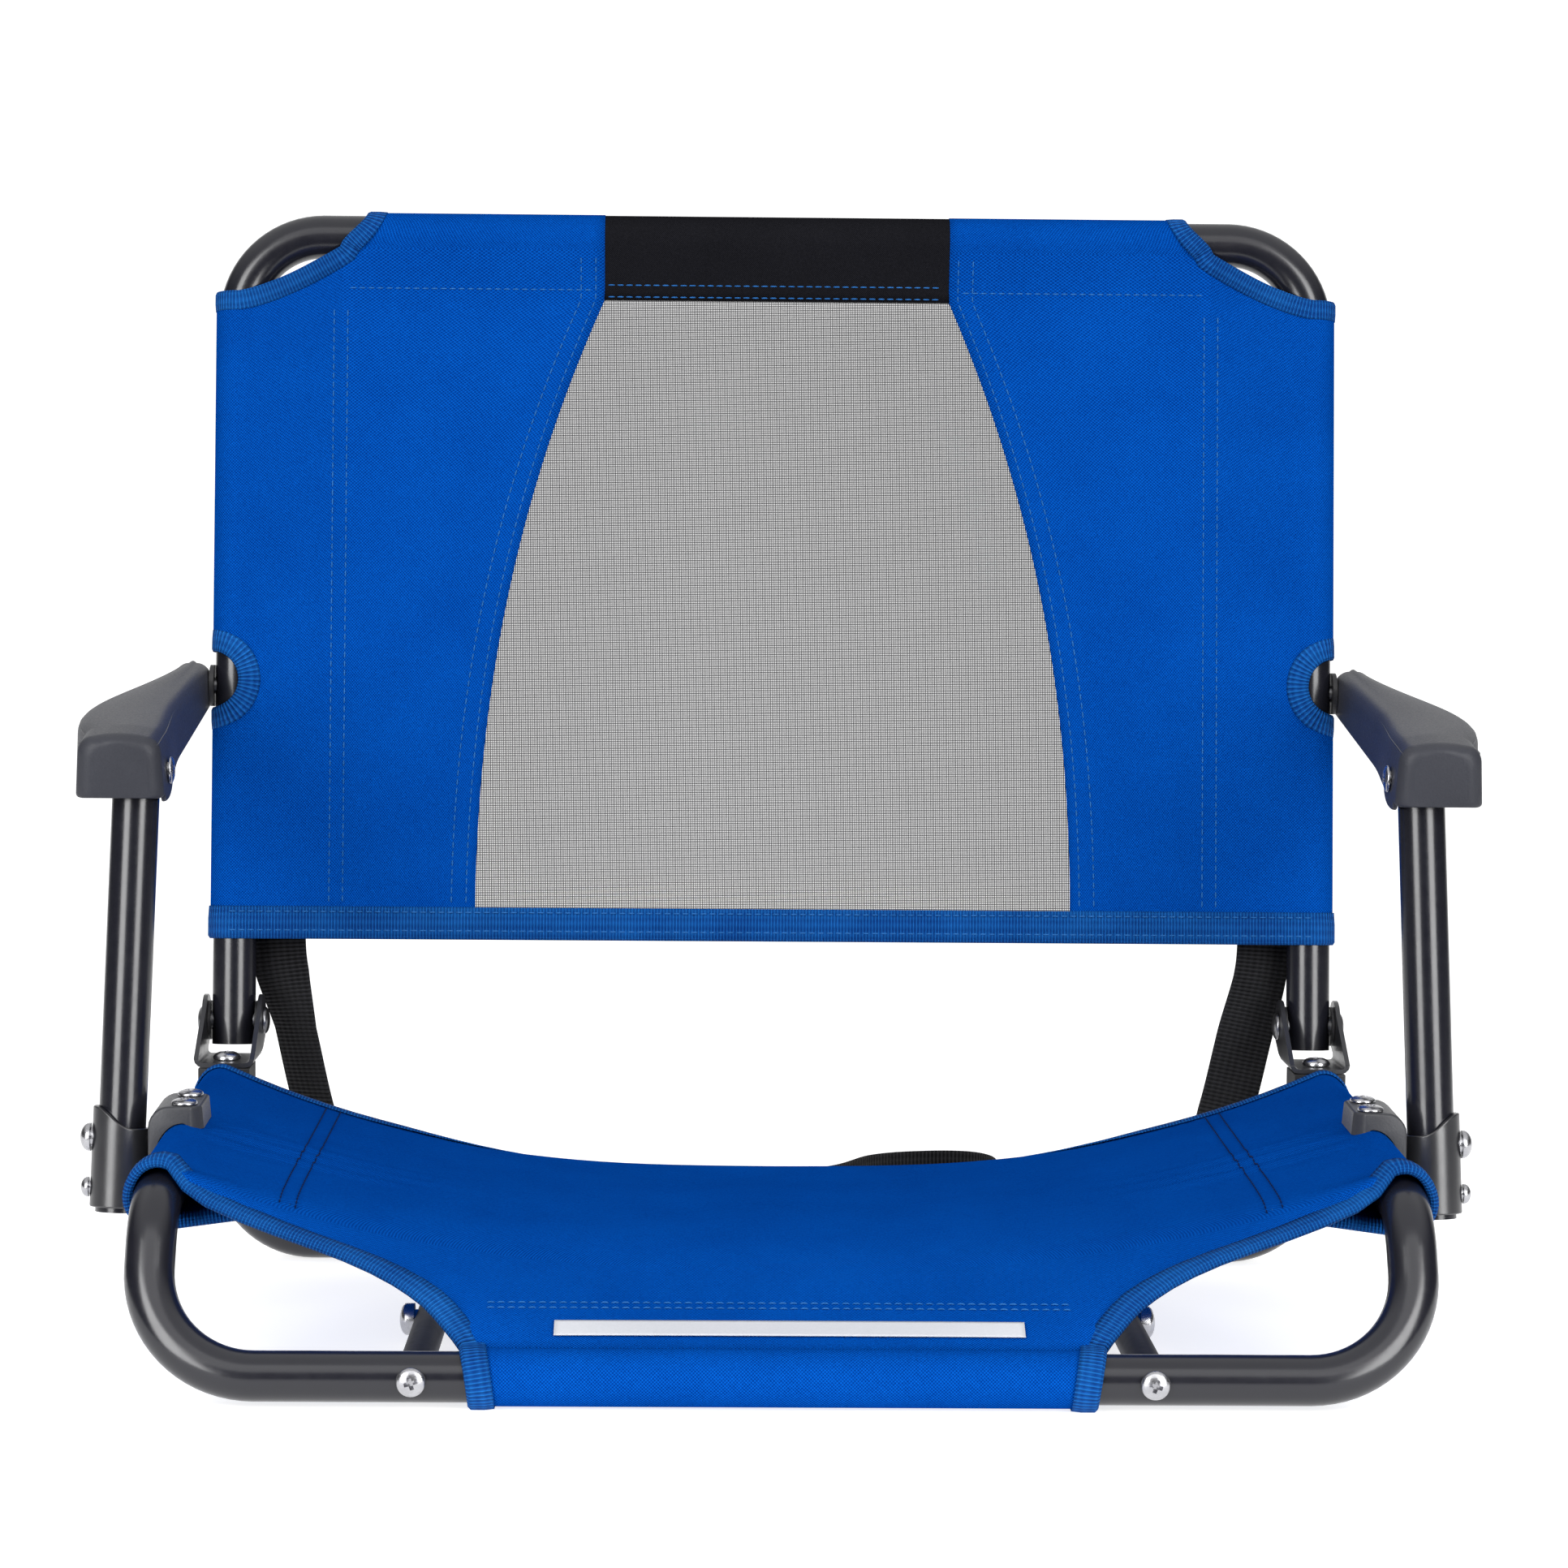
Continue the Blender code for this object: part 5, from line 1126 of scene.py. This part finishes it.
# the row at which the apron comes down to a level that looks straight from the front
def rowAtLevel(x, level):
    low, high = len(slingRows) - 14.0, len(relaxed) - 1.0
    for _ in range(24):
        half = (low + high) / 2
        spot = onSling(half, x)
        if spot.z + seatSling["levelTilt"] * (spot.y - frontY) > level:
            low = half
        else:
            high = half
    return low


for k in range(1, 29):
    a = mix(seatSling["apronTouch"], seatSling["apronLeave"], k / 28)
    narrow = mix(1, seatSling["wrapIn"], ease(k / 16))
    apronRows.append([Vector((p.x * narrow, railFront.y + cos(a) * wrapR, railFront.z + sin(a) * wrapR))
                      for p in apronRows[apronSteps]])
wrapped = apronRows[-1]
flapEnd = railFront + Vector((0, seatSling["flapBack"], seatSling["flapUp"]))
for k in (1, 2, 3):
    apronRows.append([mix(p, Vector((p.x, *flapEnd.yz)), k / 3) for p in wrapped])
bm = bmesh.new()
vEnd = clothGrid(bm, slingRows)
clothGrid(bm, apronRows, vStart=vEnd, straight=True)
bmesh.ops.remove_doubles(bm, verts=bm.verts, dist=0.00002)
slingObject = place("seatSling", bm, blueCloth, "seat", ("seat_sling",), sharp=80)
thicken(slingObject, seatSling["thick"])

# ribbed tape on the rear edge, the sleeve fronts and the apron's sides
bm = bmesh.new()
bindEdge(bm, slingRows[0], slingRows[1], seatSling["tape"] * 0.6, 0.0015, 0.0014)
for turnOver in ((lambda p: p.copy()), flipX):
    edge = [turnOver(p) for p in slingRows[-1][:rim + 1] + [row[0] for row in apronRows[1:]]]
    inner = [turnOver(p) for p in slingRows[-2][:rim + 1] + [row[1] for row in apronRows[1:]]]
    bindEdge(bm, edge, inner, seatSling["tape"], seatSling["tapeLift"])
slingTape = place("seatSlingTape", bm, blueTape, "seat", sharp=80)
thicken(slingTape, seatSling["tapeThick"])

bm = bmesh.new()
stand = seatSling["thick"] * 0.5 + 0.0003
for flip in (1, -1):
    for inset in seatSling["sideSeams"]:
        x = flip * (halfWidth - inset)
        spots = [0.6 + (len(slingRows) - 1.4) * k / 90 for k in range(91)]
        normals = [slingNormal(row, x) for row in spots]
        stitchRow(bm, [onSling(row, x) + n * stand for row, n in zip(spots, normals)], normals)
slingStitch = place("seatSlingStitch", bm, navyThread, "seat", sharp=80)
bm = bmesh.new()
for level in seatSling["seamLevels"]:
    across = [mix(-seatSling["seamHalf"], seatSling["seamHalf"], k / 60) for k in range(61)]
    spots = [rowAtLevel(x, level) for x in across]
    normals = [slingNormal(row, x) for row, x in zip(spots, across)]
    stitchRow(bm, [onSling(row, x) + n * stand for row, x, n in zip(spots, across, normals)], normals)
apronStitch = place("apronStitch", bm, blueThread, "seat", sharp=80)

# bare white strip on the apron
barePatch = {"left": -0.086, "right": 0.091, "top": 0.0314, "bottom": 0.0258, "stand": 0.0013,
             "thick": 0.0003}
rows = []
for k in range(9):
    row = []
    for i in range(61):
        x = mix(barePatch["left"], barePatch["right"], i / 60)
        spot = rowAtLevel(x, mix(barePatch["top"], barePatch["bottom"], k / 8))
        row.append(onSling(spot, x) + slingNormal(spot, x) * barePatch["stand"])
    rows.append(row)
bm = bmesh.new()
clothGrid(bm, rows)
patchObject = place("barePatch", bm, whitePatch, "seat", sharp=80)
thicken(patchObject, barePatch["thick"])
print("seat sling made")

# back cloth
backCloth = {"sleeveTop": 0.3215, "cornerTop": 0.342, "topSeam": 0.027, "topEdge": 0.181,
             "topLeave": radians(20), "bellTop": 0.0765, "bellBottom": 0.132, "bellPower": 2.25,
             "thick": 0.0009, "netThick": 0.0003, "tape": 0.009, "hemTape": 0.0135, "notchUp": 0.1505,
             "notchHalf": 0.0132, "notchDeep": 0.0132, "notchTape": 0.0088, "ripple": 0.0007,
             "netTuck": 0.010, "tapeLift": 0.0008, "tapeThick": 0.0004, "hemLift": 0.0012,
             "hemThick": 0.0005, "stitchRise": 0.015, "stitchTop": 0.318, "bendR": 0.037,
             "bendFrom": 0.311, "notchCut": 0.03, "sideStitch": (0.0035, -0.0025),
             "netStitch": (0.004, 0.0105)}
stitchFrom = hem + backCloth["stitchRise"]
topTouch = backLen - wrapR * sin(backCloth["topLeave"])
stitchUp = backLen - backCloth["topSeam"]


def bell(up):
    share = min(1, max(0, (up - hem) / (stitchUp - hem)))
    return mix(backCloth["bellBottom"], backCloth["bellTop"], share ** backCloth["bellPower"])


def frontLift(up):
    t = max(0, (up - stitchUp) / (topTouch - stitchUp))
    return mix(clothGap, wrapR * cos(backCloth["topLeave"]), t)


def panelFront(x, up):
    sideLift = mix(clothGap, wrapR, max(0, (x - seamX) / sideSeam))
    bendR = backCloth["bendR"]
    bulge = 0.25 * max(0, bendR - sqrt(max(0, bendR**2 - max(0, up - backCloth["bendFrom"]) ** 2)))
    lift = (sideLift**4 + frontLift(up) ** 4) ** 0.25 + bulge * ease((x - seamX) / 0.02)
    calm = ease((up - hem - 0.012) / 0.04) * ease((stitchUp - up) / 0.03) * ease((seamX - x) / 0.02)
    return lift + backCloth["ripple"] * calm * noise.noise(Vector((x * 16, up * 10, 4.2)))


def sleeveTopAt(x):
    t = min(1, max(0, (halfWidth - x) / sideSeam))
    return mix(backCloth["sleeveTop"], backCloth["cornerTop"], t**1.3)


levels = [k / 56 for k in range(57)]
overTurns = [mix(-backCloth["topLeave"], pi + backCloth["topLeave"], k / 24) for k in range(25)]
overWrap = [(backLen + wrapR * sin(a), wrapR * cos(a)) for a in overTurns]
lastUp, lastFront = overWrap[-1]
overWrap += [(mix(lastUp, stitchUp, k / 5), mix(lastFront, -clothGap, k / 5)) for k in range(1, 6)]


def overEdge(up, front):
    if front < 0:
        return backCloth["topEdge"]
    share = ease((up - backCloth["cornerTop"]) / (backLen + wrapR - backCloth["cornerTop"]))
    return mix(seamX, backCloth["topEdge"], share**0.8)


# front face of the tube sleeve, or with sign -1 its rear face
def sleeveFront(x, sign):
    if x <= halfWidth:
        return sign * mix(clothGap, wrapR, (x - seamX) / sideSeam)
    return sign * sqrt(max(0.0, wrapR**2 - (x - halfWidth) ** 2))


def evenly(start, end, count):
    return [mix(start, end, k / count) for k in range(count + 1)]


# the tube sleeve's round, from its rear to its front
sleeveTurns = [radians(-90 + 10 * k) for k in range(18)]
sleeveRound = [(halfWidth + wrapR * cos(a), wrapR * sin(a)) for a in sleeveTurns]
centreX, notchUp = halfWidth + clothOut, backCloth["notchUp"]


def notchPoint(a, grow=0.0):
    deep, half = backCloth["notchDeep"] + grow, backCloth["notchHalf"] + grow
    return centreX + deep * cos(a), notchUp + half * sin(a)


for side, s in sides:
    columns = []
    for k in range(8):
        x = mix(seamX, halfWidth, k / 8)
        f = -mix(clothGap, wrapR, k / 8)
        columns.append([(x, mix(hem, backCloth["sleeveTop"], v), f) for v in levels])
    for x, f in sleeveRound:
        columns.append([(x, mix(hem, backCloth["sleeveTop"], v), f) for v in levels])
    for k in range(12):
        x = mix(halfWidth, seamX, k / 12)
        top = sleeveTopAt(x)
        columns.append([(x, mix(hem, top, v), panelFront(x, mix(hem, top, v))) for v in levels])
    firstInner = len(columns)
    for k in range(17):
        column = []
        for v in levels:
            up = mix(hem, backCloth["cornerTop"], v)
            x = mix(seamX, bell(up), k / 16)
            column.append((x, up, panelFront(x, up)))
        columns.append(column)
    rows = [[backAt(s * x, up, f) for x, up, f in row] for row in zip(*columns)]
    over = [rows[-1][firstInner:]]
    for up, front in overWrap:
        left = overEdge(up, front)
        over.append([backAt(s * mix(left, bell(up), k / 16), up, front) for k in range(17)])
    bm = bmesh.new()
    vEnd = clothGrid(bm, rows)
    clothGrid(bm, over, vStart=vEnd)
    bmesh.ops.remove_doubles(bm, verts=bm.verts, dist=0.00002)
    panel = place("backPanel." + side, bm, blueCloth, "back", ("back_panel_" + side,), sharp=80)
    thicken(panel, backCloth["thick"])
    # cut the armrest notch out of the sleeve
    tool = bmesh.new()
    outline = [notchPoint(2 * pi * k / 64) for k in range(64)]
    cutHalf = backCloth["notchCut"]
    a, b = ([tool.verts.new(backAt(s * x, up, f)) for x, up in outline] for f in (-cutHalf, cutHalf))
    loopJoin(tool, a, b)
    tool.faces.new(a)
    tool.faces.new(b)
    toolObject = meshObject("notchTool", tool)
    cut = panel.modifiers.new("armNotch", "BOOLEAN")
    cut.object = toolObject
    cut.solver = "EXACT"
    made = bpy.data.meshes.new_from_object(panel.evaluated_get(bpy.context.evaluated_depsgraph_get()))
    panel.modifiers.clear()
    panel.data = made
    bpy.data.objects.remove(toolObject)
    # binding on the notch, the cut corner and the top sleeve's ends
    bm = bmesh.new()
    for sign in (1, -1):
        edge, inner = [], []
        for a in evenly(radians(92), radians(268), 40):
            for line, grow, limit in ((edge, 0.0, 0.999), (inner, 0.002, 0.9995)):
                x, up = notchPoint(a, grow)
                x = min(halfWidth + wrapR * limit, x)
                line.append(backAt(s * x, up, sleeveFront(x, sign)))
        bindEdge(bm, edge, inner, backCloth["notchTape"], backCloth["tapeLift"])
    cornerEdge = rows[-1][:firstInner + 1] + [row[0] for row in over[1:]]
    cornerInner = rows[-2][:firstInner + 1] + [row[1] for row in over[1:]]
    bindEdge(bm, cornerEdge, cornerInner, backCloth["tape"] * 0.85, backCloth["tapeLift"])
    panelTape = place("backTape." + side, bm, blueTape, "back", sharp=80)
    thicken(panelTape, backCloth["tapeThick"])
    # side seam, seams beside the net and top seam
    bm = bmesh.new()
    stand = backCloth["thick"] / 2 + 0.0001
    stitchLines = [[(seamX + out, up) for up in evenly(stitchFrom, backCloth["stitchTop"], 70)]
                   for out in backCloth["sideStitch"]]
    stitchLines += [[(bell(up) + out, up) for up in evenly(stitchFrom, backLen - 0.006, 70)]
                    for out in backCloth["netStitch"]]
    stitchLines.append([(x, stitchUp + 0.004) for x in evenly(seamX - 0.003, bell(stitchUp) + 0.003, 40)])
    for points in stitchLines:
        line = [backAt(s * x, up, panelFront(x, up) + stand) for x, up in points]
        stitchRow(bm, line, [backFront] * len(line))
    panelStitch = place("backStitch." + side, bm, blueThread, "back", sharp=80)

# see-through net between the panels, and its dark lining over the top tube
rows = []
tuck = backCloth["netTuck"]
for v in levels:
    up = mix(hem + 0.001, topTouch, v)
    edge = bell(up) + tuck
    rows.append([backAt(edge * k / 20, up, frontLift(up) - 0.0008) for k in range(-20, 21)])
for up, front in overWrap[1:]:
    scaleIn = (wrapR - 0.0007) / wrapR
    rows.append([backAt((bell(up) + tuck) * k / 20, backLen + (up - backLen) * scaleIn, front * scaleIn)
                 for k in range(-20, 21)])
bm = bmesh.new()
clothGrid(bm, rows, straight=True)
netObject = place("backNet", bm, blackNet, "back", ("back_mesh",), sharp=80)
thicken(netObject, backCloth["netThick"])
lining = [(up, frontLift(up)) for up in evenly(stitchUp, topTouch, 6)[:-1]] + overWrap
rows = [[backAt((bell(up) + tuck) * k / 20, up, front) for k in range(-20, 21)] for up, front in lining]
bm = bmesh.new()
clothGrid(bm, rows, straight=True)
netSleeve = place("backNetSleeve", bm, blackLining, "back", sharp=80)
thicken(netSleeve, backCloth["netThick"])
bm = bmesh.new()
for up in (stitchUp + 0.0012, stitchUp + 0.0062):
    reachX = bell(up) - 0.001
    line = [backAt(x, up, frontLift(up) + 0.0003) for x in evenly(-reachX, reachX, 40)]
    stitchRow(bm, line, [backFront] * len(line))
netStitch = place("backNetStitch", bm, blueThread, "back", sharp=80)


# one hem tape runs across both panels and the net
def hemPoints(s):
    points = [(mix(seamX, halfWidth, k / 6), -mix(clothGap, wrapR, k / 6)) for k in range(6)] + sleeveRound
    points += [(mix(halfWidth, seamX, k / 12), mix(wrapR, clothGap * 1.2, k / 12)) for k in range(12)]
    points += [(x, clothGap * 1.2) for x in evenly(seamX, 0.004, 24)]
    return [(s * x, f) for x, f in points]


hemLine = hemPoints(-1) + hemPoints(1)[::-1]
bm = bmesh.new()
bindEdge(bm, [backAt(x, hem, f) for x, f in hemLine], [backAt(x, hem + 0.005, f) for x, f in hemLine],
         backCloth["hemTape"], backCloth["hemLift"])
hemTape = place("hemTape", bm, blueTape, "back", sharp=80)
thicken(hemTape, backCloth["hemThick"])
bm = bmesh.new()
for up in (hem + 0.0030, hem + 0.0112):
    line = [backAt(x, up, f + 0.0016) for x, f in hemLine if f > 0 and abs(x) < halfWidth + 0.002]
    line.sort(key=lambda p: p.x)
    stitchRow(bm, line, [backFront] * len(line))
hemStitch = place("hemStitch", bm, blueThread, "back", sharp=80)
print("back cloth made")

# floor, light and world: white behind and above, dim in front, two tall strip boxes and one high in front
studio = {"floorX": 1.5, "floorY": (-0.33, 1.0), "floorZ": -0.0006, "floorTone": 0.6, "floorGlow": 0.75,
          "behind": 1.2, "sky": 0.9, "ahead": 0.05, "stripRadiance": 9.6, "stripSize": (1.02, 1.7),
          "stripSpot": (1.38, -1.80, 0.80), "topRadiance": 1.2, "topSize": (2.4, 1.4),
          "topSpot": (0.0, -1.8, 1.65)}
bm = bmesh.new()
near, far = studio["floorY"]
wide = studio["floorX"]
bm.faces.new([bm.verts.new((x, y, 0)) for x, y in ((-wide, near), (wide, near), (wide, far), (-wide, far))])
floorObject = meshObject("studioFloor", bm)
floorMat, _, floorShader = newFinish("studioFloor")
floorShader.inputs["Base Color"].default_value = (studio["floorTone"],) * 3 + (1,)
floorShader.inputs["Emission Color"].default_value = (1, 1, 1, 1)
floorShader.inputs["Emission Strength"].default_value = studio["floorGlow"]
floorShader.inputs["Roughness"].default_value = 0.9
floorShader.inputs["Specular IOR Level"].default_value = 0.1
floorObject.data.materials.append(floorMat)
floorObject.location.z = studio["floorZ"]
world = bpy.data.worlds.new("studioWorld")
world.use_nodes = True
worldTree = world.node_tree
backdrop = worldTree.nodes["Background"]
backdrop.inputs["Color"].default_value = (1, 1, 1, 1)
direction = addNode(worldTree, "ShaderNodeTexCoord").outputs["Generated"]
parts = addNode(worldTree, "ShaderNodeSeparateXYZ", {0: direction}).outputs
backWall = spread(worldTree, parts[1], 0.6, 0.92, studio["ahead"], studio["behind"])
ceiling = spread(worldTree, parts[2], 0.35, 0.8, studio["ahead"], studio["sky"])
lit = sums(worldTree, "MAXIMUM", backWall, ceiling)
seen = addNode(worldTree, "ShaderNodeLightPath").outputs["Is Camera Ray"]
shown = sums(worldTree, "MULTIPLY", seen, studio["behind"])
worldTree.links.new(sums(worldTree, "MAXIMUM", lit, shown), backdrop.inputs["Strength"])
scene.world = world


def softBox(name, spot, target, size, radiance):
    data = bpy.data.lights.new(name, "AREA")
    data.shape = "RECTANGLE"
    data.size, data.size_y = size
    data.energy = radiance * pi * size[0] * size[1]
    lamp = bpy.data.objects.new(name, data)
    scene.collection.objects.link(lamp)
    lamp.location = spot
    lamp.rotation_euler = (Vector(target) - Vector(spot)).to_track_quat("-Z", "Y").to_euler()


stripX, stripY, stripZ = studio["stripSpot"]
for side, s in sides:
    softBox(side + "Strip", (s * stripX, stripY, stripZ), (0, -0.05, stripZ), studio["stripSize"],
            studio["stripRadiance"])
softBox("topBox", studio["topSpot"], (0, 0, 0.15), studio["topSize"], studio["topRadiance"])
scene.view_settings.view_transform = "Standard"
scene.view_settings.look = "None"
print("studio set")

for name, node in nodes.items():
    if name.startswith("joint_spigot"):
        node.data.materials.clear()
        node.data.materials.append(zincPlate)
print("done")
